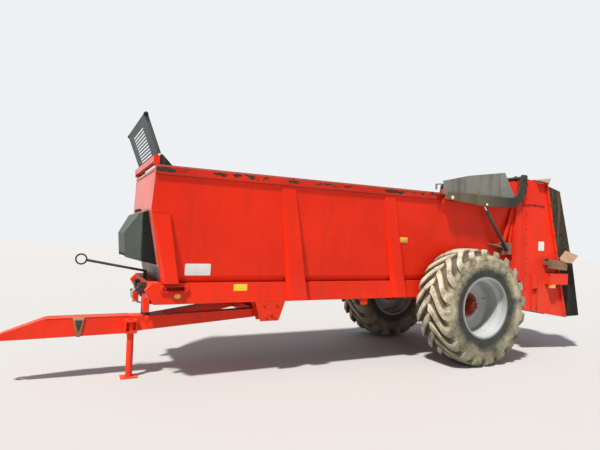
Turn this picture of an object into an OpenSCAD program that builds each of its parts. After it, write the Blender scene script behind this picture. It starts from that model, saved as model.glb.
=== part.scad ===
// Towed manure spreader with two upright beaters, on one axle.
// The drawbar points along -X, the left side is -Y and up is +Z.
// Every x in the tables is measured from the wheel axle, plus to the rear.

/* [Wheels] */
// Diameter of the tyre over its lugs
tyre_d = 1900; // [1700:10:2000]
// Width of the tyre
tyre_w = 690; // [600:5:710]
// Thickness of the tyre's side
tyre_side_t = 26; // [15:1:35]
// Thickness of the tyre under its tread
tyre_tread_t = 38; // [25:1:45]
// Height of a lug
lug_h = 45; // [25:1:60]
// Lugs on one half of the tread
lug_count = 20; // [14:1:24]
// Width of a lug at its foot
lug_w = 92; // [60:1:110]
// Gap between a tyre's inner side and the chassis beam
tyre_clear = 60; // [50:1:90]
// Diameter of the rim over its flanges
rim_d = 1016; // [900:4:1060]
// Width of the rim over its flanges
rim_w = 610; // [540:5:630]
// Thickness of the rim's metal
rim_t = 10; // [6:1:16]
// Depth of the rim's well
rim_well = 48; // [30:1:60]
// Distance of the wheel disc from the middle of the rim, towards the machine
disc_inset = 85; // [40:5:110]
// Thickness of the wheel disc
disc_t = 14; // [8:1:20]

/* [Axle] */
// Side of the square axle beam
axle_size = 150; // [120:5:150]
// Distance between the outer ends of the axle beam
axle_len = 1860; // [1800:5:1880]
// Height of the pads between the axle and the chassis
pad_h = 30; // [15:1:60]
// Diameter of the spindle
spindle_d = 80; // [60:1:100]
// Diameter of the brake drum
drum_d = 420; // [380:5:450]
// Diameter of the hub's flange
hub_flange_d = 335; // [300:5:360]
// Diameter of the hub's barrel
hub_d = 220; // [180:2:240]
// Length of the hub outside the wheel disc
hub_out = 150; // [100:5:200]

/* [Chassis] */
// Height of a chassis beam
beam_h = 275; // [200:5:300]
// Width of a chassis beam
beam_w = 90; // [60:5:120]
// Thickness of the beam's metal
beam_t = 8; // [5:1:12]
// Distance between the outer faces of the chassis beams
beam_span = 1560; // [1500:5:1580]
// Front end of the beams at their foot
beam_front_x = -5116; // [-5200:1:-5080]
// How far the beam's slanted nose reaches forward of its foot
beam_nose = 110; // [80:1:200]
// Height and width of a crossmember
cross_size = 100; // [60:5:120]

/* [Body] */
// Height of the wall from the beams to the foot of the rail
wall_h = 1375; // [1100:5:1500]
// Thickness of the sheet of the body
wall_t = 5; // [3:0.5:8]
// Height of the folded strip along the wall's foot
fold_h = 90; // [60:5:120]
// How far the wall stands inside the beam's outer face just above that strip
fold_inset = 10; // [5:1:30]
// How far a wall leans out from there to the rail
wall_lean = 135; // [100:1:140]
// How far the wall's foot stands inside the beam's outer face
wall_inset = 80; // [60:1:84]
// Front edge of the body at the beams
front_foot_x = -5030; // [-5060:1:-5000]
// Front edge of the body at the knee of the headboard
knee_x = -5205; // [-5240:1:-5170]
// Height of that knee above the beams
knee_h = 950; // [850:5:1000]
// Front edge of the body at the top of the headboard
front_top_x = -5165; // [-5190:1:-5140]
// Rear end of the walls
wall_rear_x = 1290; // [1270:1:1310]
// Height of the rail
rail_h = 125; // [80:5:150]
// Width of the rail
rail_w = 80; // [60:5:90]
// Thickness of the floor
floor_t = 8; // [5:1:12]
// Distance between two slats of the moving floor
slat_pitch = 420; // [300:10:600]
// Height of a slat
slat_h = 25; // [15:1:40]
// Height of a floor chain
chain_h = 12; // [8:1:18]
// Diameter of the sprockets that carry the floor's chains
sprocket_d = 150; // [110:2:160]
// Teeth of a sprocket
sprocket_teeth = 8; // [6:1:10]

/* [Headboard] */
// Height of the headboard above the rail's foot
head_h = 245; // [200:5:300]
// Height of the bar along the headboard's top
head_bar_h = 80; // [60:2:100]
// Height of the window under that bar
window_h = 62; // [40:2:64]
// Length of the guard grille up its slope
grille_len = 535; // [400:5:600]
// Forward lean of the guard grille in degrees
grille_lean = 20.8; // [10:0.2:26]
// How far the guard grille's ends stay inside the rails
grille_inset = 105; // [90:1:200]
// Slots in the guard grille
grille_slots = 10; // [6:1:12]
// Length of a slot
slot_len = 900; // [600:10:1200]
// Height of a slot
slot_h = 20; // [12:1:26]

/* [Drive cover] */
// Width of the cover over the drive
cover_w = 1240; // [1100:10:1300]
// Cut across the cover's front corners
cover_corner = 250; // [150:5:300]
// Thickness of the cover
cover_t = 4; // [2:0.5:6]

/* [Drawbar] */
// Width of the drawbar
bar_w = 220; // [180:5:260]
// Thickness of the drawbar's metal
bar_t = 10; // [6:1:16]
// Distance of the tow eye in front of the axle
eye_dist = 6905; // [6800:5:7000]
// Outer diameter of the tow eye
eye_d = 150; // [130:2:170]
// Bore of the tow eye
eye_bore = 50; // [40:1:60]
// Thickness of the tow eye
eye_t = 40; // [30:1:50]
// Distance of the drawbar's hinge in front of the axle
hinge_dist = 3500; // [3450:5:3600]
// Diameter of the hinge tube
hinge_tube_d = 120; // [100:2:130]
// Diameter of the hinge pin
hinge_pin_d = 50; // [40:1:60]

/* [Jack] */
// Distance of the jack in front of the axle
jack_dist = 5300; // [5260:5:5320]
// Diameter of the jack's leg
jack_d = 90; // [70:2:100]
// Side of the box that guides the leg
jack_box = 150; // [130:2:160]
// Thickness of the jack's foot plate
jack_plate_t = 12; // [8:1:16]

/* [Lift arms] */
// Distance of the arms' pivot in front of the axle
pivot_dist = 370; // [340:5:400]
// Height of the pivot above the rail's foot
pivot_h = 40; // [34:2:70]
// Height of the band of an arm
arm_h = 165; // [120:5:180]
// Thickness of an arm
arm_t = 30; // [20:1:45]
// Gap between a rail and the arm beside it
arm_clear = 90; // [86:1:100]
// Diameter of the tube between the arms
arm_tube_d = 70; // [50:2:76]
// Distance of the arms' tips behind the walls
tip_back = 120; // [110:1:122]
// Length of a link between the arms and the door
link_len = 457; // [430:1:460]
// Bore of a lift cylinder's barrel outside
barrel_d = 58; // [50:1:58]
// Diameter of a lift cylinder's rod
rod_d = 32; // [25:1:36]

/* [Door] */
// Thickness of the rear door
door_t = 8; // [5:1:10]
// How far the door reaches past the walls' outer faces at the rail
door_lap = 23; // [15:1:24]

/* [Beaters] */
// Distance of the beaters' foot behind the axle
beater_dist = 2135; // [2120:5:2160]
// Height of the beaters' foot
beater_z = 830; // [800:5:860]
// Forward tilt of the beaters in degrees
beater_tilt = 8; // [6:0.5:8.5]
// Length between the two beams that carry the beaters
beater_len = 2330; // [2200:10:2340]
// Distance between the beaters' axes
beater_span = 1000; // [980:5:1010]
// Diameter of a beater's tube
beater_tube_d = 220; // [180:5:260]
// Diameter of a beater's spiral
spiral_d = 850; // [780:5:860]
// How far a tooth stands out of the spiral
tooth_out = 35; // [20:1:35]
// Rise of the spiral in one turn
spiral_pitch = 900; // [700:20:1100]
// Thickness of the spiral
spiral_t = 10; // [6:1:14]
// Diameter of the throwing disc at a beater's foot
disc_d = 940; // [860:5:960]
// Height of a throwing blade
blade_h = 90; // [60:5:120]
// Diameter of a beater's shaft
shaft_d = 70; // [50:2:80]

/* [Housing] */
// Thickness of the housing's side plates
side_t = 6; // [4:0.5:10]
// Outward flare of the side plates in degrees
side_flare = 9.5; // [7:0.5:11]
// Length of the posts of the rear frame
post_len = 2450; // [2400:10:2480]
// Length of the flaps behind the side plates
flap_len = 330; // [200:10:400]
// Thickness of the rubber flaps
flap_t = 10; // [6:1:14]
// Distance of the frame's posts behind the walls
frame_back = 180; // [178:1:200]
// Length of the frame's posts along the machine
frame_l = 60; // [50:1:70]
// Width of the frame's posts
frame_w = 95; // [80:1:95]
// Width of the cheeks that guide the load beside the door, above the rails
cheek_w = 130; // [60:5:140]

/* [Hidden] */

// True curves carry this many segments in a preview
$fn = 48;

// Clearances
seat_gap = 0.3;
run_gap = 0.05;
move_gap = 10;

// Heights and places that follow from the sizes above
axle_z = tyre_d / 2;
floor_span = beam_span - wall_inset * 2;
wall_foot_span = beam_span - fold_inset * 2;
wall_top_span = wall_foot_span + wall_lean * 2;
door_w = wall_top_span + door_lap * 2;
crown_r = tyre_d / 2 - lug_h;
seat_r = rim_d / 2 - 25;
beam_z = axle_z + axle_size / 2 + pad_h;
deck_z = beam_z + beam_h;
beam_y = beam_span / 2;
rail_z = deck_z + wall_h;
rail_top = rail_z + rail_h;
fold_z = deck_z + fold_h;
knee_z = deck_z + knee_h;
head_z = rail_z + head_h;
guide_top = beater_z + post_len - 110;
slat_z = deck_z + floor_t + chain_h;

// The walls lean out, so a height gives the distance of their outer face
function wall_y(z) = wall_foot_span / 2
    + (wall_top_span - wall_foot_span) / 2 * (z - fold_z) / (rail_z - fold_z);
// The front edge of the body at a height
function front_x(z) = z < knee_z
    ? front_foot_x + (knee_x - front_foot_x) * (z - deck_z) / (knee_z - deck_z)
    : knee_x + (front_top_x - knee_x) * (z - knee_z) / (head_z - knee_z);

tyre_in = max(beam_y + tyre_clear, wall_y(tyre_d) + tyre_clear / 3 - 1);
track = tyre_in * 2 + tyre_w;
disc_y = track / 2 - disc_inset;
rail_out = wall_y(rail_z) + 20;
grille_w = (rail_out - grille_inset) * 2;
arm_in = rail_out + arm_clear;
frame_x = wall_rear_x + frame_back;
frame_out = arm_in - 20;
door_x = wall_rear_x + wall_t + move_gap;
door_z = deck_z + floor_t + 10;
door_top = rail_z + 45;

// The grille's top stands furthest forward of the body, the flaps end the machine
bar_z0 = 560;
bar_z1 = 815;
eye_z = bar_z0 + eye_t;
nose_x = -eye_dist + eye_d / 2;
side_x = frame_x + frame_l;
side_len = 1000;
front_end = -eye_dist - eye_d / 2;
rear_end = side_x + (side_len + flap_len) * cos(side_flare) + flap_t * sin(side_flare);
origin_x = -(front_end + rear_end) / 2;

pivot = [-pivot_dist, rail_z + pivot_h];
tube_c = [wall_rear_x + tip_back, rail_top + 410];
door_pin = [wall_rear_x + 50, tube_c[1] - sqrt(pow(link_len, 2) - pow(tip_back - 50, 2))];
arm_eye = [447, rail_z - 26];
barrel_foot = [1080, rail_z - 806];
cyl_y = arm_in - 40;
link_y = door_w / 2 - 78;

module at_axle() {
    translate([origin_x, 0, 0]) children();
}

module both() {
    children();
    mirror([0, 1, 0]) children();
}

module right() {
    mirror([0, 1, 0]) children();
}

// A box between two corners given as spans along X, Y and Z
module span_box(x, y, z) {
    translate([x[0], y[0], z[0]]) cube([x[1] - x[0], y[1] - y[0], z[1] - z[0]]);
}

// An outline in Y and Z, drawn out along X
module along_x(x) {
    translate([x[0], 0, 0]) rotate([90, 0, 90]) linear_extrude(x[1] - x[0]) children();
}

// An outline in X and Z, drawn out along Y
module along_y(y) {
    translate([0, y[1], 0]) rotate([90, 0, 0]) linear_extrude(y[1] - y[0]) children();
}

// A round bar along Y
module pin_y(c, y, d) {
    translate([c[0], y[0], c[1]]) rotate([-90, 0, 0]) cylinder(h = y[1] - y[0], d = d);
}

// A round bar between two points in the plane y
module rod_xz(a, b, y, d) {
    run = b - a;
    translate([a[0], y, a[1]]) rotate([0, atan2(run[0], run[1]), 0]) cylinder(h = norm(run), d = d);
}

// A closed solid through rings of points. The first half of a ring runs along one skin
// and the second half comes back along the other, with matching points.
// The skins are cut along the same diagonals, which keeps a thin sheet even.
module loft(rings) {
    n = len(rings[0]);
    m = len(rings);
    points = [for (ring = rings) for (p = ring) p];
    quads = [for (i = [0 : m - 2]) for (j = [0 : n - 1])
        [i * n + j, i * n + (j + 1) % n, (i + 1) * n + (j + 1) % n, (i + 1) * n + j, j]];
    sides = [for (q = quads) each q[4] < n / 2
        ? [[q[0], q[1], q[2]], [q[0], q[2], q[3]]]
        : [[q[0], q[1], q[3]], [q[1], q[2], q[3]]]];
    last = (m - 1) * n;
    ends = [for (k = [0 : n / 2 - 2]) each [
        [n - 1 - k, n - 2 - k, k + 1], [n - 1 - k, k + 1, k],
        [last + k, last + k + 1, last + n - 2 - k], [last + k, last + n - 2 - k, last + n - 1 - k]]];
    polyhedron(points, concat(sides, ends), convexity = 6);
}

// Body walls: a panel that stands on a folded strip
module wall() {
    y0 = floor_span / 2;
    y1 = wall_foot_span / 2;
    y2 = wall_top_span / 2;
    foot = fold_z + seat_gap;
    strip = [[-y0, deck_z], [-y1, fold_z], [-y1 + wall_t, fold_z], [-y0 + wall_t, deck_z]];
    panel = [[-y1, foot], [-y2, rail_z], [-y2 + wall_t, rail_z], [-y1 + wall_t, foot]];
    outline = [[front_foot_x, deck_z], [knee_x, knee_z], [front_x(rail_z), rail_z],
        [wall_rear_x, rail_z], [wall_rear_x, deck_z]];
    color("orangered") at_axle() intersection() {
        along_x([knee_x - 10, wall_rear_x]) {
            polygon(strip);
            polygon(panel);
        }
        along_y([-y2 - 10, 0]) polygon(outline);
    }
}

module left_wall() wall();

module right_wall() right() wall();

// Floor with its slats and chains
module floor_plate() {
    y = floor_span / 2 - wall_t - seat_gap;
    color("dimgray") at_axle()
        span_box([front_foot_x + wall_t + 2, wall_rear_x], [-y, y], [deck_z, deck_z + floor_t]);
}

chain_out = floor_span / 2 - 140;
chain_y = [-chain_out, -chain_out * 0.34, chain_out * 0.34, chain_out];

module moving_floor() {
    y = floor_span / 2 - wall_t - move_gap * 2;
    color("dimgray") at_axle() {
        for (x = [front_foot_x + 180 : slat_pitch : wall_rear_x - 60])
            span_box([x, x + 60], [-y, y], [slat_z, slat_z + slat_h]);
        for (y = chain_y)
            span_box([front_foot_x + 120, wall_rear_x - 30], [y - 20, y + 20],
                [deck_z + floor_t, slat_z]);
    }
}

// Shafts that drive and turn the floor's chains, with their sprockets
module floor_shafts() {
    y = beam_y - beam_w - seat_gap;
    z = deck_z - sprocket_d / 2 - 4;
    color("dimgray") at_axle() for (x = [front_foot_x + 70, wall_rear_x - 55]) {
        pin_y([x, z], [-y, y], 60);
        for (c = chain_y) difference() {
            pin_y([x, z], [c - 10, c + 10], sprocket_d);
            for (i = [0 : sprocket_teeth - 1])
                translate([x, 0, z]) rotate([0, i * 360 / sprocket_teeth, 0]) translate([0, 0, -z])
                    pin_y([0, z + sprocket_d / 2], [c - 11, c + 11], 24);
        }
    }
}

// Headboard: a folded sheet between the walls, with a bar along its top and a window
module headboard() {
    t = wall_t;
    strip = [[front_foot_x, deck_z], [knee_x, knee_z], [front_x(head_z - head_bar_h), head_z - head_bar_h],
        [front_x(head_z - head_bar_h) + t, head_z - head_bar_h], [knee_x + t, knee_z],
        [front_foot_x + t, deck_z]];
    y0 = floor_span / 2 - t - seat_gap;
    y1 = wall_foot_span / 2 - t - seat_gap;
    y2 = wall_top_span / 2 - t - seat_gap;
    y3 = rail_out - rail_w - seat_gap;
    inside = [[-y0, deck_z], [y0, deck_z], [y1, fold_z], [y2, rail_z], [y3, rail_z], [y3, head_z],
        [-y3, head_z], [-y3, rail_z], [-y2, rail_z], [-y1, fold_z]];
    window_top = head_z - head_bar_h - 4;
    color("orangered") at_axle() {
        difference() {
            intersection() {
                along_y([-y2, y2]) polygon(strip);
                along_x([knee_x - 10, front_foot_x + 20]) polygon(inside);
            }
            span_box([knee_x - 20, front_top_x + 30], [-y3 + 90, y3 - 90],
                [window_top - window_h, window_top]);
        }
        span_box([front_top_x - 35, front_top_x + 35], [-y3, y3], [head_z - head_bar_h, head_z]);
    }
}

// Guard grille: a slotted sheet with folded edges, leaning forward on the headboard's bar
module guard_grille() {
    t = 4;
    pitch = 40;
    color("darkslategray") at_axle()
        translate([front_top_x + 20, 0, head_z]) rotate([0, -grille_lean, 0]) {
            difference() {
                span_box([0, t], [-grille_w / 2, grille_w / 2], [10, grille_len]);
                for (i = [0 : grille_slots - 1])
                    span_box([-5, t + 5], [-slot_len / 2, slot_len / 2],
                        [60 + i * pitch, 60 + i * pitch + slot_h]);
            }
            for (s = [-1, 1])
                translate([0, s * (grille_w / 2 - 12), 0])
                    span_box([t, 44], [-12, 12], [10 + 44 * tan(grille_lean), grille_len]);
            pin_y([22, grille_len + 10], [-grille_w / 2, grille_w / 2], 44);
        }
    x0 = front_top_x + 35 + seat_gap;
    color("darkslategray") at_axle() both() {
        span_box([front_top_x - 30, front_top_x + 34], [-630, -570], [head_z, head_z + 14]);
        along_y([-rail_out + 55, -rail_out + 61]) polygon([[x0, rail_top + seat_gap],
            [x0 + 165, rail_top + seat_gap], [x0 + 30, head_z + 18], [x0, head_z + 18]]);
    }
}

// Rails along the tops of the walls
module rail() {
    color("orangered") at_axle() difference() {
        along_y([-rail_out, -rail_out + rail_w]) polygon([[front_x(rail_z), rail_z],
            [front_x(rail_top), rail_top], [wall_rear_x, rail_top], [wall_rear_x, rail_z]]);
        span_box([front_x(rail_top) + wall_t * 2, wall_rear_x + 1],
            [-rail_out + wall_t, -rail_out + rail_w - wall_t], [rail_z + wall_t, rail_top - wall_t]);
    }
}

module left_rail() rail();

module right_rail() right() rail();

// Side posts: tapered folded ribs, prouder towards the foot
// columns: top front x, top rear x, top z, foot front x, foot rear x, foot z
post_table = [
    [knee_x + 15, knee_x + 238, knee_z - 60, front_foot_x + 2, front_foot_x + 225, deck_z],
    [-3450, -3230, rail_z, -3240, -2930, beam_z + 15],
    [-1670, -1460, rail_z, -1350, -1100, beam_z + 15]];
post_out = beam_y + 92;
post_slope = 42;

function post_ring(row, z, base, out) = let(
    k = (z - row[2]) / (row[5] - row[2]),
    a = row[0] + (row[3] - row[0]) * k,
    b = row[1] + (row[4] - row[1]) * k,
    lean = min(post_slope, (out - base) * 0.7),
    t = wall_t)
    [[b, -base, z], [b - lean / 2, -out, z], [a + lean, -out, z], [a, -base, z],
        [a + t, -base, z], [a + lean + t / 2, -out + t, z], [b - lean / 2 - t / 2, -out + t, z],
        [b - t, -base, z]];

function post_levels(row) = [row[5], for (z = [deck_z, fold_z, row[2]]) if (z > row[5]) z];

module posts() {
    gap = seat_gap;
    color("orangered") at_axle() for (row = post_table)
        loft([for (z = post_levels(row)) post_ring(row, z,
            z > deck_z ? wall_y(z) + gap : beam_y + gap,
            max(post_out, wall_y(z) + 8))]);
}

module left_posts() posts();

module right_posts() right() posts();

// Chassis beams, hollow and open at the rear
module beam() {
    nose = beam_front_x - beam_nose;
    outline = [[beam_front_x, beam_z], [nose, beam_z + beam_h * 0.67], [nose + 85, deck_z],
        [wall_rear_x + 60, deck_z], [wall_rear_x + 60, beam_z]];
    slot = [-4960, -4740];
    color("orangered") at_axle() difference() {
        along_y([-beam_y, -beam_y + beam_w]) polygon(outline);
        span_box([beam_front_x + beam_t, wall_rear_x + 70],
            [-beam_y + beam_t, -beam_y + beam_w - beam_t], [beam_z + beam_t, deck_z - beam_t]);
        span_box(slot, [-beam_y - 5, -beam_y + beam_t + 5], [deck_z - 95, deck_z - 50]);
    }
}

module left_beam() beam();

module right_beam() right() beam();

// Crossmembers between the beams
cross_x = [-4300, -3420, -2300, -1200, 400, 1040];
shaft_z = beam_z + 105;

// A channel across the machine, open to the rear
module channel(x, y, z) {
    t = beam_t;
    difference() {
        span_box(x, [-y, y], z);
        span_box([x[0] + t, x[1] + 1], [-y - 1, y + 1], [z[0] + t, z[1] - t]);
    }
}

module crossmembers() {
    y = beam_y - beam_w;
    color("orangered") at_axle() difference() {
        union() {
            for (x = cross_x)
                channel([x, x + 80], y, [deck_z - cross_size, deck_z]);
            channel([beam_front_x - 40, beam_front_x + 80], y, [beam_z, deck_z]);
            for (s = [-1, 1])
                span_box([beam_front_x - 90, beam_front_x - 10], [s * 500 - 35, s * 500 + 35],
                    [beam_z - 130, beam_z + 60]);
        }
        translate([beam_front_x - 50, 0, shaft_z]) rotate([0, 90, 0]) cylinder(h = 140, d = 110);
    }
}

// Drawbar: a box beam that opens into a yoke at its hinge
module drawbar() {
    w = bar_w / 2;
    hinge_x = -hinge_dist;
    hinge_z = beam_z - 165;
    outline = [[nose_x, bar_z0], [nose_x, bar_z0 + 80], [nose_x + 480, bar_z1], [-5000, bar_z1],
        [hinge_x, hinge_z + 55], [hinge_x, hinge_z - 55], [-5300, bar_z0 + 30]];
    plan = [[nose_x, -w * 0.7], [nose_x + 480, -w], [-5150, -w], [hinge_x - 200, -560],
        [hinge_x, -560], [hinge_x, 560], [hinge_x - 200, 560], [-5150, w], [nose_x + 480, w],
        [nose_x, w * 0.7]];
    yoke = [[-4850, -60], [hinge_x - 160, -430], [hinge_x - 160, 430], [-4850, 60]];
    pivot_at = [hinge_x, hinge_z];
    color("orangered") at_axle() {
        difference() {
            intersection() {
                along_y([-600, 600]) polygon(outline);
                linear_extrude(2000) polygon(plan);
            }
            linear_extrude(2000) polygon(yoke);
            span_box([nose_x + 500, -4800], [-w + bar_t, w - bar_t],
                [bar_z0 + 40 + bar_t, bar_z1 - bar_t]);
            pin_y(pivot_at, [-601, 601], hinge_tube_d - 1);
        }
        pin_y(pivot_at, [-600, 600], hinge_tube_d);
        pin_y(pivot_at, [-beam_y - 20, beam_y + 20], hinge_pin_d);
    }
}

// Rubber buffers on which the front of the chassis rests
module drawbar_buffers() {
    color("black") at_axle() for (y = [-52, 52]) translate([beam_front_x + 20, y, bar_z1 + seat_gap]) {
        cylinder(h = beam_z - bar_z1 - seat_gap * 2, d = 96);
        cylinder(h = 12, d = 102);
    }
}

module tow_eye() {
    color("dimgray") at_axle() difference() {
        union() {
            translate([-eye_dist, 0, eye_z - eye_t / 2]) cylinder(h = eye_t, d = eye_d);
            span_box([-eye_dist, nose_x], [-45, 45], [eye_z - eye_t / 2, eye_z + eye_t / 2]);
        }
        translate([-eye_dist, 0, eye_z - eye_t]) cylinder(h = eye_t * 2, d = eye_bore);
    }
}

module hinge_brackets() {
    x = -hinge_dist;
    outline = [[x - 230, beam_z], [x + 230, beam_z], [x + 135, beam_z - 275], [x - 145, beam_z - 275]];
    color("orangered") at_axle() both() difference() {
        union() {
            along_y([-beam_y, -beam_y + 20]) polygon(outline);
            along_y([-620, -600]) polygon(outline);
            span_box([x - 230, x + 230], [-beam_y + 20, -620], [beam_z - 12, beam_z]);
        }
        pin_y([x, beam_z - 165], [-beam_y - 1, -590], hinge_pin_d + seat_gap * 2);
    }
}

// Drive cover: a faceted shell on the front of the headboard, open below
module cover_solid(inset, past) {
    w = cover_w / 2 - inset;
    back = front_x(knee_z);
    slope = [[back + 40 + past, knee_z - 6 - inset], [back - 101, knee_z - 60 - inset * 1.3],
        [back - 259 + inset, knee_z - 323 - inset / 2], [back - 233 + inset, knee_z - 641 - past],
        [back + 150 + past, knee_z - 730 - past], [back + 150 + past, knee_z - 6 - inset]];
    plan = [[back + 300 + past, -w], [back - 60, -w], [back - 262 + inset, -w + cover_corner],
        [back - 262 + inset, w - cover_corner], [back - 60, w], [back + 300 + past, w]];
    intersection() {
        along_y([-w, w]) polygon(slope);
        linear_extrude(3000 + past) polygon(plan);
    }
}

module drive_cover() {
    front = [[front_foot_x - seat_gap, deck_z], [knee_x - seat_gap, knee_z],
        [front_x(head_z) - seat_gap, head_z], [0, head_z], [0, deck_z]];
    color("darkslategray") at_axle() difference() {
        cover_solid(0, 0);
        cover_solid(cover_t, 60);
        along_y([-1000, 1000]) polygon(front);
    }
}

// Bearing of the drive shaft with the stub that the tractor turns
module front_bearing() {
    color("dimgray") at_axle() translate([beam_front_x - 40, 0, shaft_z]) rotate([0, -90, 0]) {
        cylinder(h = 16, d = 190);
        cylinder(h = 60, d = 120);
        cylinder(h = 150, d = 35);
    }
}

module driveline() {
    knee = [760, shaft_z];
    low = [beater_dist - 190, beater_z - 95];
    color("dimgray") at_axle() {
        rod_xz([beam_front_x - 39, shaft_z], knee - [60 + seat_gap, 0], 0, 80);
        translate([knee[0], 0, knee[1]]) sphere(d = 120);
        rod_xz(knee, low, 0, 76);
        for (x = cross_x)
            span_box([x + 10, x + 70], [-60, 60], [shaft_z + 30, deck_z - cross_size]);
    }
}

module valve_block() {
    x = beam_front_x - 40;
    color("dimgray") at_axle() {
        span_box([x - 90, x], [-420, -200], [deck_z - 170, deck_z - 50]);
        for (y = [-390, -340, -290, -240])
            translate([x - 90, y, deck_z - 110]) rotate([0, -90, 0]) cylinder(h = 45, d = 32);
        span_box([x - 60, x], [220, 420], [deck_z - 150, deck_z - 60]);
    }
}

// Arm that holds the hoses off the drawbar
module hose_holder() {
    a = [beam_front_x - 20, deck_z];
    ring = [-5950, deck_z + 260];
    color("dimgray") at_axle() {
        span_box([a[0] - 20, a[0] + 20], [-130, -90], [deck_z, deck_z + 120]);
        difference() {
            union() {
                rod_xz([a[0], deck_z + 105], ring, -110, 34);
                pin_y(ring, [-125, -95], 150);
            }
            pin_y(ring, [-140, -80], 110);
        }
    }
}

// Box that guides the jack's leg, on the drawbar's left side
jack_y = -bar_w / 2 - jack_box / 2;
jack_z = bar_z0 + 40;

module jack_guide() {
    h = jack_box / 2;
    color("orangered") at_axle() translate([-jack_dist, jack_y, 0]) difference() {
        span_box([-h, h], [-h, h], [jack_z, jack_z + 180]);
        translate([0, 0, jack_z - 1]) cylinder(h = 182, d = jack_d + run_gap * 2);
        span_box([-h + 12, h - 12], [-h - 1, 0], [jack_z + 30, jack_z + 150]);
    }
}

module jack_leg() {
    color("orangered") at_axle() translate([-jack_dist, jack_y, 0]) {
        translate([0, 0, jack_plate_t]) cylinder(h = jack_z + 165 - jack_plate_t, d = jack_d);
        span_box([-110, 110], [-90, 90], [0, jack_plate_t]);
    }
}

// Axle beam with its pads, brake plates and spindles
module axle_beam() {
    h = axle_size / 2;
    y = axle_len / 2;
    color("orangered") at_axle() {
        span_box([-h, h], [-y, y], [axle_z - h, axle_z + h]);
        both() {
            span_box([-130, 130], [-beam_y, -beam_y + beam_w], [axle_z + h, beam_z]);
            pin_y([0, axle_z], [-y - 12, -y], drum_d - 10);
            pin_y([0, axle_z], [-disc_y - hub_out + 45, -y - 12], spindle_d);
        }
    }
}

// Tyre: a hollow ring with lugs in two rows that meet near the middle
// columns: share of the height from the rim to the crown, share of the half width
tyre_table = [[0, 0.84], [0.066, 0.845], [0.14, 0.93], [0.34, 0.99], [0.52, 1], [0.7, 0.985], [0.84, 0.94],
    [0.93, 0.86], [0.975, 0.66], [1, 0.3]];

bead_r = seat_r + seat_gap;
function tyre_side(top_r, half) = [for (row = tyre_table)
    [bead_r + (top_r - bead_r) * row[0], half * row[1]]];
function flipped(side) = [for (i = [len(side) - 1 : -1 : 0]) [side[i][0], -side[i][1]]];

// Radius of the carcass at a share of the half width
function crown_at(u) = u < 0.3 ? crown_r : crown_r - (crown_r - seat_r) * 0.16 * pow((u - 0.3) / 0.64, 2.6);

// A lug's path: steps from the middle to the shoulder and a little down the side
// columns: share of the half width, turn in shares of a pitch, share of the lug's height
lug_table = [[-0.03, 0, 1], [0.25, 0.3, 1], [0.55, 0.85, 1], [0.8, 1.22, 0.98], [0.955, 1.4, 0.55]];

module lug(side) {
    step = 360 / lug_count;
    half = tyre_w / 2;
    loft([for (row = lug_table) let(
        base = crown_at(abs(row[0])) - 12,
        top = crown_at(abs(row[0])) * (1 - row[2]) + (crown_r + lug_h * (1 - pow(abs(row[0]), 4) * 0.35)) * row[2],
        turn = -row[1] * step,
        y = side * row[0] * half,
        foot = lug_w / 2 / crown_r * 180 / PI,
        tip = foot * 0.62)
        [for (c = [[base, -foot], [base, foot], [top, tip], [top, -tip]])
            [c[0] * sin(turn + side * c[1]), y, c[0] * cos(turn + side * c[1])]]]);
}

module tyre() {
    outer = tyre_side(crown_r, tyre_w / 2);
    inner = tyre_side(crown_r - tyre_tread_t, tyre_w / 2 - tyre_side_t);
    step = 360 / lug_count;
    ring = concat(outer, flipped(outer), [for (i = [0 : len(inner) - 1]) [inner[i][0], -inner[i][1]]],
        [for (i = [len(inner) - 1 : -1 : 0]) inner[i]]);
    color("tan") at_axle() translate([0, -track / 2, axle_z]) {
        rotate([90, 0, 0]) rotate_extrude($fn = 72) polygon(ring);
        for (i = [0 : lug_count - 1]) {
            rotate([0, i * step, 0]) lug(-1);
            rotate([0, (i + 0.5) * step, 0]) lug(1);
        }
    }
}

module left_tyre() tyre();

module right_tyre() right() tyre();

// Rim: flanges, bead seats, a well and a disc well inside
module rim() {
    r = rim_d / 2;
    h = rim_w / 2;
    t = rim_t;
    well = seat_r - rim_well;
    half = [[r, h], [r, h - t], [seat_r, h - t], [seat_r, h - 90], [well, h - 145]];
    under = [[well - t, h - 145], [seat_r - t, h - 90], [seat_r - t, h]];
    ring = concat(half, [for (i = [4 : -1 : 0]) [half[i][0], -half[i][1]]],
        [for (i = [2 : -1 : 0]) [under[i][0], -under[i][1]]], under);
    dish = [[hub_d / 2 + 2, -disc_inset - disc_t / 2], [hub_d / 2 + 2, -disc_inset + disc_t / 2],
        [290, -disc_inset + disc_t / 2], [360, -disc_inset + 40], [well - t + 1, -disc_inset + 40],
        [well - t + 1, -disc_inset + 40 - disc_t], [365, -disc_inset + 40 - disc_t],
        [295, -disc_inset - disc_t / 2]];
    color("silver") at_axle() translate([0, -track / 2, axle_z]) rotate([90, 0, 0])
        rotate_extrude($fn = 72) {
            polygon(ring);
            polygon(dish);
        }
}

module left_rim() rim();

module right_rim() right() rim();

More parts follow.
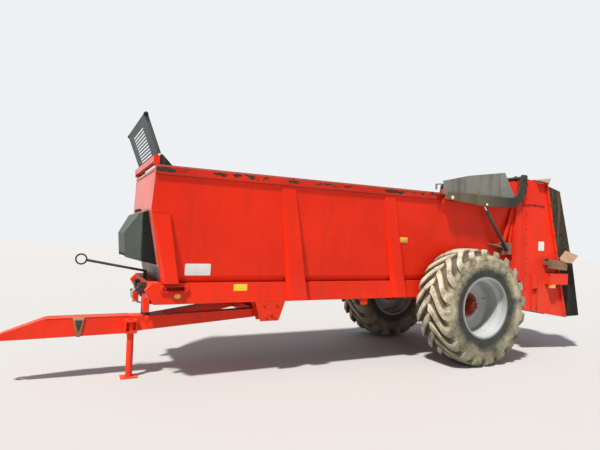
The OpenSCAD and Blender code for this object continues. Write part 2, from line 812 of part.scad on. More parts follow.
// Hub with the brake drum behind the disc and a cap in front of it
module hub() {
    y0 = axle_len / 2 + 18;
    y1 = disc_y - disc_t / 2;
    y2 = disc_y + disc_t / 2;
    y3 = disc_y + hub_out;
    bore = spindle_d / 2 + run_gap;
    profile = [[bore, y0], [drum_d / 2, y0], [drum_d / 2, y1], [hub_d / 2, y1], [hub_d / 2, y2],
        [hub_flange_d / 2, y2], [hub_flange_d / 2, y2 + 20], [hub_d / 2, y2 + 20],
        [hub_d / 2 - 12, y3 - 40], [hub_d / 2 - 35, y3], [0, y3], [0, y3 - 30], [bore, y3 - 30]];
    color("orangered") at_axle() translate([0, 0, axle_z]) rotate([90, 0, 0]) difference() {
        rotate_extrude() polygon(profile);
        translate([0, 0, y0 - 1]) difference() {
            cylinder(h = 61, d = drum_d - 24);
            cylinder(h = 61, d = hub_d);
        }
    }
}

module left_hub() hub();

module right_hub() right() hub();

// Pivot plates on the rails and a brace of two bars above each cylinder's foot
module arm_mounts() {
    y0 = rail_out + seat_gap;
    outline = [[pivot[0] - 130, rail_z - 66], [pivot[0] - 96, rail_z - 66], [pivot[0] + 60, rail_z],
        [pivot[0] + 90, rail_top], [pivot[0] - 90, rail_top]];
    top = [wall_rear_x, rail_z - 2];
    bars = [-brace_out, -wall_y(rail_z) - seat_gap];
    color("orangered") at_axle() both() {
        along_y([-y0 - 12, -y0]) polygon(outline);
        pin_y(pivot, [-arm_in - arm_t - 14, -y0 - 12], 60 - run_gap * 2);
        along_y(bars) polygon([[foot_x0 + 5, foot_top], [foot_x0 + 50, foot_top],
            [top[0] - 14, top[1] - 90], [top[0], top[1] - 90], [top[0], top[1]], [top[0] - 62, top[1]]]);
        along_y(bars) polygon([[foot_x1 - 62, foot_top], [foot_x1 - 24, foot_top],
            [top[0] - 4, top[1] - 110], [top[0] - 4, top[1] - 60], [top[0] - 36, top[1] - 60]]);
    }
}

// Blocks on the body's sides that carry the lift cylinders
foot_x0 = barrel_foot[0] - 60;
foot_x1 = barrel_foot[0] + 170;
foot_top = barrel_foot[1] + 131;
brace_out = cyl_y - 35;

module cylinder_feet() {
    base = wall_y(foot_top) + seat_gap;
    color("saddlebrown") at_axle() both() {
        difference() {
            span_box([foot_x0, foot_x1], [-brace_out, -base], [barrel_foot[1] - 90, foot_top]);
            span_box([foot_x0 + 10, foot_x1 - 10], [-brace_out + 10, -base + 1],
                [barrel_foot[1] - 91, foot_top - 10]);
        }
        pin_y(barrel_foot, [-cyl_y - 40, -brace_out - seat_gap], 30);
        along_y([-brace_out, -base]) polygon([[foot_x0 - 300, foot_top - 30], [foot_x0, foot_top - 30],
            [foot_x0, foot_top - 110], [foot_x0 - 90, foot_top - 90], [foot_x0 - 300, foot_top - 45]]);
    }
}

// Lift arms: two J shaped bands with a tube between their tips
tip = tube_c;
arm_top = rail_z - 28 + arm_h;
arm_pts = [[pivot[0] - 140, rail_z + 12], [arm_eye[0], rail_z - 61], [tip[0] - 280, rail_z - 30],
    [tip[0] - 150, rail_z + 12], [tip[0] - 45, rail_z + 100], [tip[0] + 15, rail_z + 190],
    [tip[0] + 58, tip[1] - 190], [tip[0] + 90, tip[1] + 30], [tip[0] + 70, tip[1] + 58],
    [tip[0] - 50, tip[1] + 55], [tip[0] - 76, tip[1] + 20], [tip[0] - 105, tip[1] - 170],
    [tip[0] - 152, rail_z + 238], [tip[0] - 210, rail_z + 176], [tip[0] - 290, arm_top + 8],
    [tip[0] - 420, arm_top], [pivot[0] - 80, arm_top]];

module lift_arms() {
    color("dimgray") at_axle() {
        both() difference() {
            along_y([-arm_in - arm_t, -arm_in]) polygon(arm_pts);
            pin_y(pivot, [-arm_in - arm_t - 1, -arm_in + 1], 60);
        }
        pin_y(tube_c, [-arm_in, arm_in], arm_tube_d);
        both() pin_y(arm_eye, [-arm_in - arm_t - 10, -arm_in - arm_t], 44);
        both() pin_y(tube_c, [-arm_in - arm_t - 12, -arm_in - arm_t], arm_tube_d);
    }
}

// Side sheet that stands on the left arm
module arm_sheets() {
    x0 = pivot[0] - 170;
    peak = [930, rail_z + 590];
    knee = [60, rail_z + 455];
    low = [x0, rail_z + 315];
    outline = [[x0, rail_z + 90], [1170, rail_z + 90], [1195, rail_z + 175], peak, knee, low];
    color("gray") at_axle() {
        along_y([-arm_in, -arm_in + 4]) polygon(outline);
        along_y([-arm_in + 4, -arm_in + 40]) polygon([low, knee, peak, peak - [0, 6], knee - [0, 6],
            low - [0, 6]]);
        along_y([-arm_in, -arm_in + 30]) polygon([[x0 - 150, rail_z + 160], [x0 - 132, rail_z + 160],
            [x0 - 132, rail_z + 240], [x0, rail_z + 252], [x0, rail_z + 268], [x0 - 150, rail_z + 255]]);
    }
}

// Links that hang the door from the arms' tube
module door_links() {
    color("dimgray") at_axle() both() {
        difference() {
            union() {
                pin_y(tube_c, [-link_y - 12, -link_y], arm_tube_d + 34);
                along_y([-link_y - 12, -link_y]) polygon([door_pin - [22, 0], door_pin + [22, 0],
                    tube_c + [22, 0], tube_c - [22, 0]]);
                pin_y(door_pin, [-link_y - 12, -link_y], 62);
            }
            pin_y(tube_c, [-link_y - 13, -link_y + 1], arm_tube_d + run_gap * 2);
        }
        pin_y(door_pin, [-link_y - 24, -link_y - 12], 36);
    }
}

// Rear door with its stiffeners and the ears for the links
module door() {
    x1 = door_x + door_t;
    color("orangered") at_axle() {
        span_box([door_x, x1], [-door_w / 2, door_w / 2], [door_z, door_top]);
        for (z = [door_z + 60, (door_z + door_top) / 2, door_top - 90])
            span_box([x1, x1 + 24], [-870, 870], [z, z + 50]);
        both() span_box([x1, door_pin[0] + 35], [-link_y + seat_gap, -link_y + 14],
            [door_top - 40, door_pin[1] + 35]);
    }
}

// Lift cylinders: barrels on the body, rods that reach the arms
cyl_run = arm_eye - barrel_foot;
cyl_len = norm(cyl_run);
cyl_dir = cyl_run / cyl_len;

module barrels() {
    top = barrel_foot + cyl_dir * (cyl_len - 130);
    color("dimgray") at_axle() both() difference() {
        union() {
            rod_xz(barrel_foot + cyl_dir * 30, top, -cyl_y, barrel_d);
            pin_y(barrel_foot, [-cyl_y - 25, -cyl_y + 25], 62);
        }
        rod_xz(barrel_foot + cyl_dir * 60, top + cyl_dir * 5, -cyl_y, rod_d + run_gap * 2);
        pin_y(barrel_foot, [-cyl_y - 30, -cyl_y + 30], 30 + run_gap * 2);
    }
}

module rods() {
    color("silver") at_axle() both() {
        rod_xz(barrel_foot + cyl_dir * 80, arm_eye - cyl_dir * 20, -cyl_y, rod_d);
        pin_y(arm_eye, [-arm_in + seat_gap, -cyl_y + 22], 56);
    }
}

// Plates round the body's mouth, which reach up beside the door
module end_plates() {
    x0 = wall_rear_x;
    out = frame_out - 10;
    y0 = floor_span / 2 - wall_t;
    y1 = wall_foot_span / 2 - wall_t;
    y2 = wall_top_span / 2 - wall_t;
    y3 = y2 - cheek_w;
    foot = fold_z + seat_gap;
    color("orangered") at_axle() both() along_x([x0, x0 + wall_t]) {
        polygon([[-out, deck_z], [-out, fold_z], [-y1, fold_z], [-y0, deck_z]]);
        polygon([[-out, foot], [-out, guide_top], [-y3, guide_top], [-y3, rail_top + 60], [-y2, rail_top],
            [-y2, rail_z], [-y1, foot]]);
    }
}

// Rear frame: guides for the door, two posts and the crossbars between them
module rear_frame() {
    x0 = wall_rear_x;
    foot = beater_z - 40;
    color("orangered") at_axle() {
        both() {
            difference() {
                span_box([x0 + wall_t + seat_gap, frame_x], [-frame_out + 10, -frame_out + 70],
                    [deck_z, guide_top]);
                span_box([door_x - 6, door_x + door_t + 6], [-door_w / 2 - 6, 0],
                    [deck_z - 1, foot + post_len]);
            }
            difference() {
                span_box([frame_x, frame_x + frame_l], [-frame_out, -frame_out + frame_w],
                    [foot, foot + post_len]);
                span_box([frame_x + 6, frame_x + frame_l - 6], [-frame_out + 6, -frame_out + frame_w - 6],
                    [foot - 1, foot + post_len - 6]);
            }
        }
        y = frame_out - frame_w;
        channel([frame_x + 5, frame_x + frame_l], y, [foot + post_len - 120, foot + post_len]);
        channel([frame_x, frame_x + frame_l], y, [deck_z - 150, deck_z - 20]);
    }
}

// Housing side plates, flared outwards from the posts
// In a side plate's own plane, X runs rearward from its front edge
module on_side() {
    translate([side_x, -frame_out, 0]) rotate([0, 0, -side_flare]) children();
}

side_top = beater_z - 40 + post_len;
side_foot = beater_z - 40;
rib_y = side_t + 40 + seat_gap;

module side_plates() {
    outline = [[0, side_foot], [0, side_top], [470, side_top - 75], [980, side_foot - 150]];
    color("orangered") at_axle() both() on_side() {
        along_y([-side_t, 0]) polygon(outline);
        along_y([-side_t - 40, -side_t]) polygon([[430, side_top - 70], [470, side_top - 75],
            [980, side_foot - 150], [940, side_foot - 143]]);
        difference() {
            span_box([140, 270], [-side_t - 45, -side_t], [side_foot + 60, side_foot + 660]);
            span_box([146, 264], [-side_t - 46, -side_t], [side_foot + 59, side_foot + 400]);
        }
    }
}

// Flaps behind the side plates: steel above, rubber below
module rear_flaps() {
    color("saddlebrown") at_axle() both() on_side() {
        along_y([0, side_t]) polygon([[430, side_top - 80], [800, side_top - 190], [1110, side_foot + 1000],
            [760, side_foot + 1000]]);
        along_y([0, flap_t]) polygon([[760, side_foot + 990], [1130, side_foot + 990],
            [side_len + flap_len, side_foot - 120], [950, side_foot - 140]]);
    }
}

// Boards over the lamps: a shelf with a skirt and a corner that is bent up
board_z = side_foot + 965;
board_out = side_t + 150;
board_x = [415, 870];
board_drop = 5;
bent_corner = [[0, 0], [20, -81], [225, -100], [389, 61], [157, 159]];

module lamp_boards() {
    run = board_x[1] - board_x[0];
    color("peru") at_axle() both() on_side() {
        translate([board_x[0], 0, board_z]) rotate([0, board_drop, 0]) {
            span_box([0, run], [-board_out, -rib_y], [-5, 0]);
            span_box([0, run], [-board_out, -board_out + 5], [-175, 0]);
            for (u = [20, 230])
                span_box([u, u + 6], [-board_out + 5, -side_t - seat_gap], [-120, 0]);
            span_box([run - 5, run], [-board_out + 5, -rib_y], [-175, 0]);
        }
        translate([board_x[0] + 301, 46 - board_out, board_z + 21]) rotate([-24, 0, -13])
            along_y([0, 5]) polygon(bent_corner);
        translate([0, 0, side_top]) rotate([0, atan2(75, 470), 0])
            span_box([210, 470], [-90, 0], [seat_gap, seat_gap + 5]);
    }
}

// Red boxes with the lamps in them
box_x = [480, 890];
box_z = [side_foot + 485, side_foot + 690];

module lamp_boxes() {
    color("orangered") at_axle() both() on_side() {
        difference() {
            span_box(box_x, [-board_out + 10, -rib_y], box_z);
            span_box([box_x[0] + 5, box_x[1] + 1], [-board_out + 15, -rib_y + 1], [box_z[0] + 5, box_z[1] - 5]);
        }
        span_box([box_x[0], box_x[0] + 5], [-rib_y, -side_t - seat_gap], box_z);
    }
}

module lamps() {
    color("orange") at_axle() both() on_side() {
        span_box([box_x[0] + 10, box_x[0] + 120], [-board_out + 10, -board_out + 60],
            [box_z[0] - 65, box_z[0] - seat_gap]);
        span_box([box_x[1] - 60, box_x[1] - 4], [-board_out + 15 + seat_gap, -rib_y - 5],
            [box_z[0] + 5 + seat_gap, box_z[1] - 5 - seat_gap]);
    }
}

// Everything that leans with the beaters stands on this frame
module on_tilt() {
    translate([beater_dist, 0, beater_z]) rotate([0, -beater_tilt, 0]) children();
}

// The space between the side plates
module between_sides() {
    far = 1200;
    y0 = frame_out - seat_gap;
    y1 = y0 + far * tan(side_flare);
    intersection() {
        children();
        linear_extrude(4000) polygon([[side_x, -y0], [side_x + far, -y1], [side_x + far, y1], [side_x, y0]]);
    }
}

// A channel whose web faces the beaters
module tray(x, z, side) {
    t = 10;
    y = frame_out + 300;
    difference() {
        span_box(x, [-y, y], z);
        span_box([x[0] + t, x[1] - t], [-y - 1, y + 1],
            side < 0 ? [z[0] - 1, z[1] - t] : [z[0] + t, z[1] + 1]);
    }
}

module beater_beams() {
    color("orangered") at_axle() difference() {
        between_sides() {
            on_tilt() {
                tray([-140, 140], [-110, 0], -1);
                tray([-80, 80], [beater_len, beater_len + 110], 1);
                for (s = [-1, 1]) translate([0, s * beater_span / 2, -105])
                    cylinder(h = 100, d = 210);
                for (s = [-1, 1]) translate([0, s * beater_span / 2, beater_len + 4])
                    cylinder(h = 96, d = 130);
            }
        }
        on_tilt() for (s = [-1, 1]) translate([0, s * beater_span / 2, -90])
            cylinder(h = beater_len + 300, d = shaft_d + run_gap * 2);
    }
}

// Beater: tube, throwing disc and blades
module beater() {
    r = beater_tube_d / 2;
    color("orangered") at_axle() on_tilt() translate([0, -beater_span / 2, 0]) {
        difference() {
            translate([0, 0, 12]) cylinder(h = beater_len - 24, d = beater_tube_d);
            translate([0, 0, 11]) cylinder(h = beater_len - 43, d = beater_tube_d - 20);
        }
        translate([0, 0, -85]) cylinder(h = beater_len + 170, d = shaft_d);
        difference() {
            translate([0, 0, 30]) cylinder(h = 12, d = disc_d);
            translate([0, 0, 29]) cylinder(h = 14, d = beater_tube_d - 20);
        }
        for (turn = [0, 90]) rotate([0, 0, turn])
            span_box([-r + 5, r - 5], [-6, 6], [30, 90]);
        for (i = [0 : 3]) rotate([0, 0, i * 90])
            span_box([r - 3, disc_d / 2], [-6, 6], [42, 42 + blade_h]);
    }
}

// Two spirals with toothed edges wind up each beater's tube
spiral_z0 = 150;
spiral_steps = 24;

function spiral_point(i, r, z) = let(a = i * 360 / spiral_steps) [r * cos(a), r * sin(a), z];
function spiral_ring(i) = let(
    z = spiral_z0 + i * spiral_pitch / spiral_steps,
    edge = spiral_d / 2 + (i % 2 == 0 ? tooth_out : 0),
    inner = (beater_tube_d / 2 + seat_gap) / cos(180 / spiral_steps))
    [spiral_point(i, inner, z), spiral_point(i, edge, z), spiral_point(i, edge, z + spiral_t),
        spiral_point(i, inner, z + spiral_t)];

module spiral() {
    steps = floor((beater_len - spiral_z0 - 90) / spiral_pitch * spiral_steps);
    color("orangered") at_axle() on_tilt() translate([0, -beater_span / 2, 0])
        for (turn = [0, 180]) rotate([0, 0, turn])
            loft([for (i = [0 : steps]) spiral_ring(i)]);
}

module left_beater() beater();

module right_beater() right() beater();

module left_spiral() spiral();

module right_spiral() right() spiral();

left_wall();
right_wall();
floor_plate();  // floor
moving_floor();
floor_shafts();
headboard();
guard_grille();
left_rail();
right_rail();
left_posts();
right_posts();
left_beam();
right_beam();
crossmembers();
drawbar();
drawbar_buffers();
tow_eye();
hinge_brackets();
drive_cover();
front_bearing();
driveline();
valve_block();
hose_holder();
jack_guide();
jack_leg();
axle_beam();
left_tyre();
right_tyre();
left_rim();
right_rim();
left_hub();
right_hub();
arm_mounts();
cylinder_feet();
lift_arms();
arm_sheets();
door_links();
door();
barrels();
rods();
end_plates();
rear_frame();
side_plates();
rear_flaps();
lamp_boards();
lamp_boxes();
lamps();
beater_beams();
left_beater();
right_beater();
left_spiral();
right_spiral();
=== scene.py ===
# %% [markdown]
# # A towed manure spreader, dressed for the studio
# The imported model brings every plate, beam, wheel and beater as a mesh that stands where the real piece
# stands, in metres: -X is the drawbar's end, +X the rear, -Y the machine's left side, +Z up. This lesson
# gives those meshes their paint, rubber and dirt, and adds the small pieces that a model of plates leaves
# out: wheel nuts, bolts, welds, chain links, pipes, blank plates and a tyre with real lugs.

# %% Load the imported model
import math
import bmesh
import bpy
import numpy as np
from mathutils import Matrix, Vector


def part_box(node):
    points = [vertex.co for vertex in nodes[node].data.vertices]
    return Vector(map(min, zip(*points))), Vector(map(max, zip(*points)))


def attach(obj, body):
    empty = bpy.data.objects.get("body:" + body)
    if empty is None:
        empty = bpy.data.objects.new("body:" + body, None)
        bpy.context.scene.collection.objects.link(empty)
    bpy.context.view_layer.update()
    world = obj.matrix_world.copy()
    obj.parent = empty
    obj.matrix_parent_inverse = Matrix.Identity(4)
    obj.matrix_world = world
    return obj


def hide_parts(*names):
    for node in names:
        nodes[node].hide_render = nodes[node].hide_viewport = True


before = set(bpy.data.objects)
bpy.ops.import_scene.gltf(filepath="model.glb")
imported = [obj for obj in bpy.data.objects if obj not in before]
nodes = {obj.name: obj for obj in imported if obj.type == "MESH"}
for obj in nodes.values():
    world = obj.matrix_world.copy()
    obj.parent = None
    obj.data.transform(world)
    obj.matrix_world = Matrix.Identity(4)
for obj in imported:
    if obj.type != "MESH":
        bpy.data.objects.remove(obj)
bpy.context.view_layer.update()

print("pieces of the packed model:", len(nodes))

# %% [markdown]
# ## Where things are
# Lengths along the machine are easiest to count from the wheels, as a fitter would with a tape on the axle.
# The tyre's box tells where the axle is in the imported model, so every x below is a distance behind the axle
# (negative is ahead of it), and `spot` turns it into the model's own x.

# %% Count lengths from the axle
tyre_lo, tyre_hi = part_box("left_tyre")
axle_x = (tyre_lo.x + tyre_hi.x) / 2
axle_z = (tyre_lo.z + tyre_hi.z) / 2
tyre_r = (tyre_hi.z - tyre_lo.z) / 2
tyre_mid = abs(tyre_lo.y + tyre_hi.y) / 2
half_width = (tyre_hi.y - tyre_lo.y) / 2
lug_height = 0.060
crown_r = tyre_r - lug_height
both_sides = ((-1, "left"), (1, "right"))
print(f"axle at x {axle_x:.3f}, height {axle_z:.3f}, tyre radius {tyre_r:.3f}, middle at y {tyre_mid:.3f}")


def spot(points):
    """Points given as distance behind the axle, y and height: the first number gets axle_x added."""
    return np.asarray(points, float) + np.array([axle_x, 0.0, 0.0])


# %% [markdown]
# ## Camera
# The photographer stood ahead of the machine on its left side and held a wide lens at head height. A pinhole
# camera was worked out from the wheel and the body's edges, as a place, three angles and a focal length in
# pixels. Blender wants a matrix whose columns are the camera's right, its up and its back, and a lens in
# millimetres on a sensor 36 mm wide.

# %% Place the camera
yaw, pitch, roll = 0.465, 0.025, 0.038
focal_pixels, photo_width, sensor_mm = 466.8, 600, 36.0
place = spot([-6.155, -6.913, 1.993])
ahead = np.array([math.sin(yaw) * math.cos(pitch), math.cos(yaw) * math.cos(pitch), math.sin(pitch)])
level = np.array([math.cos(yaw), -math.sin(yaw), 0.0])
upright = np.cross(level, ahead)
right_side = math.cos(roll) * level + math.sin(roll) * upright
up_side = -math.sin(roll) * level + math.cos(roll) * upright

lens = bpy.data.cameras.new("camera")
lens.sensor_width = sensor_mm
lens.lens = focal_pixels / photo_width * sensor_mm
lens.clip_end = 200.0
camera = bpy.data.objects.new("camera", lens)
bpy.context.scene.collection.objects.link(camera)
turn = np.eye(4)
turn[:3, 0], turn[:3, 1], turn[:3, 2], turn[:3, 3] = right_side, up_side, -ahead, place
camera.matrix_world = Matrix(turn.tolist())
bpy.context.scene.camera = camera
print(f"lens {lens.lens:.1f} mm, camera at", np.round(place, 2))

# %% [markdown]
# ## Small tools for shader trees
# A shader tree is a list of nodes and wires. `add` makes one node, sets its options, and fills its inputs:
# a number or a colour goes into the socket, and an output of another node is wired to it. That keeps each
# material as short as its recipe.


# %% A node and its wires in one call
def add(tree, kind, inputs=None, **options):
    """Makes a node of the given kind. Options are the node's own settings. Inputs is a table from a
    socket's name or number to a value, or to another node's output, which is then wired to it. A colour is
    three numbers, and its socket gets a fourth."""
    made = tree.nodes.new(kind)
    for name, value in options.items():
        setattr(made, name, value)
    for name, value in (inputs or {}).items():
        socket = made.inputs[name]
        if isinstance(value, bpy.types.NodeSocket):
            tree.links.new(value, socket)
        else:
            socket.default_value = (*value, 1.0) if socket.type == "RGBA" else value
    return made


def math_of(tree, operation, a, b=0.0, c=None, clamp=False):
    """One step of arithmetic on values: operation of a and b, and of c where it takes three."""
    values = {0: a, 1: b} if c is None else {0: a, 1: b, 2: c}
    return add(tree, "ShaderNodeMath", values, operation=operation, use_clamp=clamp).outputs[0]


def vector_of(tree, operation, a, b):
    """One step of arithmetic on vectors."""
    return add(tree, "ShaderNodeVectorMath", {0: a, 1: b}, operation=operation).outputs[0]


def blend_of(tree, share, first, second):
    """A colour between first and second, by the share."""
    return add(tree, "ShaderNodeMix", {0: share, 6: first, 7: second}, data_type="RGBA").outputs[2]


def ramp_of(tree, value, low, high, to_low=0.0, to_high=1.0):
    """The value's range from low to high, stretched to the range to_low to to_high and cut off there."""
    made = add(tree, "ShaderNodeMapRange", {0: value, 1: low, 2: high, 3: to_low, 4: to_high})
    return made.outputs[0]


def shaded(colour, share):
    """The colour with each number times the share."""
    return [share * c for c in colour]


# %% Where a point is, which way it faces, and noise
def where_in(tree):
    """Object coordinates, in metres on the machine."""
    return add(tree, "ShaderNodeTexCoord").outputs["Object"]


def place_on(tree, letter):
    """One Object coordinate: X, Y or Z."""
    return add(tree, "ShaderNodeSeparateXYZ", {0: where_in(tree)}).outputs[letter]


def off_middle(tree):
    """Distance from the machine's middle plane, on either side."""
    return math_of(tree, "ABSOLUTE", place_on(tree, "Y"))


def facing_up(tree):
    """The normal's z: 1 on what faces up, 0 on a wall, -1 on what faces down."""
    normal = add(tree, "ShaderNodeNewGeometry").outputs["Normal"]
    return add(tree, "ShaderNodeSeparateXYZ", {0: normal}).outputs["Z"]


def noise_of(tree, where, scale, detail, rough=0.5):
    """Noise round one half, with scale cells in a metre, detail finer layers and their strength."""
    values = {"Vector": where, "Scale": scale, "Detail": detail, "Roughness": rough}
    return add(tree, "ShaderNodeTexNoise", values).outputs[0]


print("tools for shader trees ready")


# %% [markdown]
# ## Effects that several finishes share
# Weather works on paint, steel and rubber alike, so each effect is a node group with named inputs: built
# once, and placed in each material with its own numbers. Patterns read Object coordinates. Every object sits
# at the origin, so one metre in the pattern is one metre on the machine, and the pattern doesn't jump where
# two plates meet.


# %% A helper that opens a node group
def open_group(name, takes, gives):
    """A node group with the given input and output sockets, as (name, kind, default). Returns the group,
    a table of what comes in and the node that collects what goes out."""
    group = bpy.data.node_groups.new(name, "ShaderNodeTree")
    kinds = {"value": "NodeSocketFloat", "colour": "NodeSocketColor", "vector": "NodeSocketVector"}
    for title, kind, default in takes:
        socket = group.interface.new_socket(title, in_out="INPUT", socket_type=kinds[kind])
        if default is not None:
            socket.default_value = default
    for title, kind in gives:
        group.interface.new_socket(title, in_out="OUTPUT", socket_type=kinds[kind])
    coming = group.nodes.new("NodeGroupInput")
    going = group.nodes.new("NodeGroupOutput")
    return group, coming.outputs, going


def wire_out(group, going, results):
    """Joins each result to the output socket of that name."""
    for title, value in results.items():
        group.links.new(value, going.inputs[title])


# %% [markdown]
# ### Edge wear
# Paint is thinnest on an outer edge, and that is where ropes, straw and other machines rub. The Bevel node
# gives the normal that a slightly rounded edge would have. Where it leaves the flat normal, there is an edge
# near, and coarse noise breaks the line into chips. The same rounded normal also goes out, because a folded
# sheet has no sharp corner.


# %% Build the edge wear group
def build_edge_wear():
    """Share of bare metal = how far the rounded normal leaves the flat one, times broken noise."""
    group, coming, going = open_group(
        "edge_wear",
        [("Width", "value", 0.006), ("Amount", "value", 0.5), ("Patches", "value", 14.0)],
        [("Bare", "value"), ("Rounded", "vector")])
    rounded = add(group, "ShaderNodeBevel", {"Radius": coming["Width"]}, samples=4).outputs[0]
    flat = add(group, "ShaderNodeNewGeometry").outputs["Normal"]
    apart = add(group, "ShaderNodeVectorMath", {0: rounded, 1: flat}, operation="DOT_PRODUCT").outputs["Value"]
    flat_cosine, edge_cosine, rise = 0.995, 0.86, 0.05
    edge = ramp_of(group, apart, flat_cosine, edge_cosine)
    patches = noise_of(group, where_in(group), coming["Patches"], 5.0, 0.7)
    limit = math_of(group, "MULTIPLY", math_of(group, "SUBTRACT", 1.02, coming["Amount"]), 0.62)
    chips = ramp_of(group, math_of(group, "SUBTRACT", patches, limit), 0.0, rise)
    wire_out(group, going, {"Bare": math_of(group, "MULTIPLY", edge, chips, clamp=True), "Rounded": rounded})
    return group


edge_wear = build_edge_wear()
print("group:", edge_wear.name)

# %% [markdown]
# ### Dust and streaks
# Dry dust settles on what faces up and is thrown against what is low. Rain then drags it down in streaks,
# which are noise stretched many times taller than wide. Both come out as masks, so each finish chooses its
# own dust colour and how much of it stays.


# %% Build the dust group
def build_dust():
    """Dust = noise times the share that faces up, plus noise times how low the spot is. Streaks = noise
    squeezed sideways by Thin and stretched along z, kept off what faces up."""
    group, coming, going = open_group(
        "dust",
        [("Top", "value", 0.6), ("Low", "value", 0.5), ("Reach", "value", 1.6), ("Streak", "value", 0.5),
         ("Thin", "value", 9.0)],
        [("Dust", "value"), ("Streaks", "value")])
    where, height, facing = where_in(group), place_on(group, "Z"), facing_up(group)
    cloud = math_of(group, "MULTIPLY", noise_of(group, where, 2.3, 6.0, 0.62), 0.75)
    patchy = math_of(group, "MULTIPLY_ADD", noise_of(group, where, 38.0, 4.0, 0.7), 0.45, cloud)
    spread = ramp_of(group, patchy, 0.42, 0.78)
    on_top = math_of(group, "MULTIPLY", ramp_of(group, facing, 0.25, 0.95), coming["Top"])
    fall = math_of(group, "DIVIDE", height, coming["Reach"])
    down_low = math_of(group, "MULTIPLY", ramp_of(group, fall, 1.0, 0.2), coming["Low"])
    total = math_of(group, "MULTIPLY", math_of(group, "ADD", on_top, down_low), spread, clamp=True)
    squeeze = add(group, "ShaderNodeCombineXYZ", {0: coming["Thin"], 1: coming["Thin"], 2: 0.55})
    run = noise_of(group, vector_of(group, "MULTIPLY", where, squeeze.outputs[0]), 1.0, 5.0, 0.6)
    streak = math_of(group, "MULTIPLY", ramp_of(group, run, 0.50, 0.72), coming["Streak"])
    upright_only = ramp_of(group, math_of(group, "ABSOLUTE", facing), 0.9, 0.5)
    wire_out(group, going, {"Dust": total, "Streaks": math_of(group, "MULTIPLY", streak, upright_only)})
    return group


dust = build_dust()
print("group:", dust.name)

# %% [markdown]
# ### Fine grain
# No painted sheet is a mirror: the spray leaves an orange peel, old sheets are a little wavy, and rust is
# pitted. Two noises of different size give a height that a Bump node turns into a normal.


# %% Build the grain group
def build_grain():
    """Height = coarse noise times Waves plus fine noise times Peel. Tint = a slow noise round one half.
    Speck = a noise of small spots round one half."""
    group, coming, going = open_group(
        "grain",
        [("Coarse", "value", 3.0), ("Waves", "value", 0.5), ("Fine", "value", 220.0), ("Peel", "value", 0.3)],
        [("Height", "value"), ("Tint", "value"), ("Speck", "value")])
    where = where_in(group)
    wavy = math_of(group, "MULTIPLY", noise_of(group, where, coming["Coarse"], 3.0), coming["Waves"])
    fine = math_of(group, "MULTIPLY", noise_of(group, where, coming["Fine"], 3.0, 0.6), coming["Peel"])
    wire_out(group, going, {"Height": math_of(group, "ADD", wavy, fine),
                            "Tint": noise_of(group, where, 0.9, 5.0, 0.55),
                            "Speck": noise_of(group, where, 26.0, 6.0, 0.75)})
    return group


grain = build_grain()
print("group:", grain.name)


# %% Place a group in a material
def use(tree, group, **values):
    """The group as a node in the tree, with its named inputs set. Returns its outputs."""
    made = tree.nodes.new("ShaderNodeGroup")
    made.node_tree = group
    for title, value in values.items():
        made.inputs[title].default_value = value
    return made.outputs


def new_material(name):
    """An empty material with an output. Returns the material and its tree."""
    made = bpy.data.materials.new(name)
    made.use_nodes = True
    made.node_tree.nodes.clear()
    add(made.node_tree, "ShaderNodeOutputMaterial")
    return made, made.node_tree


def finish(tree, shader):
    """Wires the shader to the material's output."""
    out = [n for n in tree.nodes if n.bl_idname == "ShaderNodeOutputMaterial"][0]
    tree.links.new(shader.outputs[0], out.inputs["Surface"])


def surface(tree, colour, roughness, height, strength, distance, normal=None, **more):
    """The material's shader on a bump: height times distance lifts the surface, softened by strength, from
    the normal that is handed in. More holds the shader's other sockets, with _ for each space."""
    bump = add(tree, "ShaderNodeBump", {"Strength": strength, "Distance": distance, "Height": height})
    if normal:
        tree.links.new(normal, bump.inputs["Normal"])
    sockets = {title.replace("_", " "): value for title, value in more.items()}
    finish(tree, add(tree, "ShaderNodeBsdfPrincipled", {"Base Color": colour, "Roughness": roughness,
                                                        "Normal": bump.outputs[0], **sockets}))


# %% [markdown]
# ## Machine paint
# The body, the frame and the beaters wear the same orange red enamel. It has been in the sun for years: the
# colour drifts a little from sheet to sheet, dirt runs down from the seams, the edges are chipped to brown
# steel, and low down it is grey with dust. One recipe with numbers for colour, dust, streaks and chips makes
# every painted finish of the machine.


# %% Distance from the axle
def axle_distance(tree):
    """Length of (x - axle, z - axle) in Object coordinates."""
    from_axle = vector_of(tree, "SUBTRACT", where_in(tree), (axle_x, 0.0, axle_z))
    flat = vector_of(tree, "MULTIPLY", from_axle, (1.0, 0.0, 1.0))
    return add(tree, "ShaderNodeVectorMath", {0: flat}, operation="LENGTH").outputs["Value"]


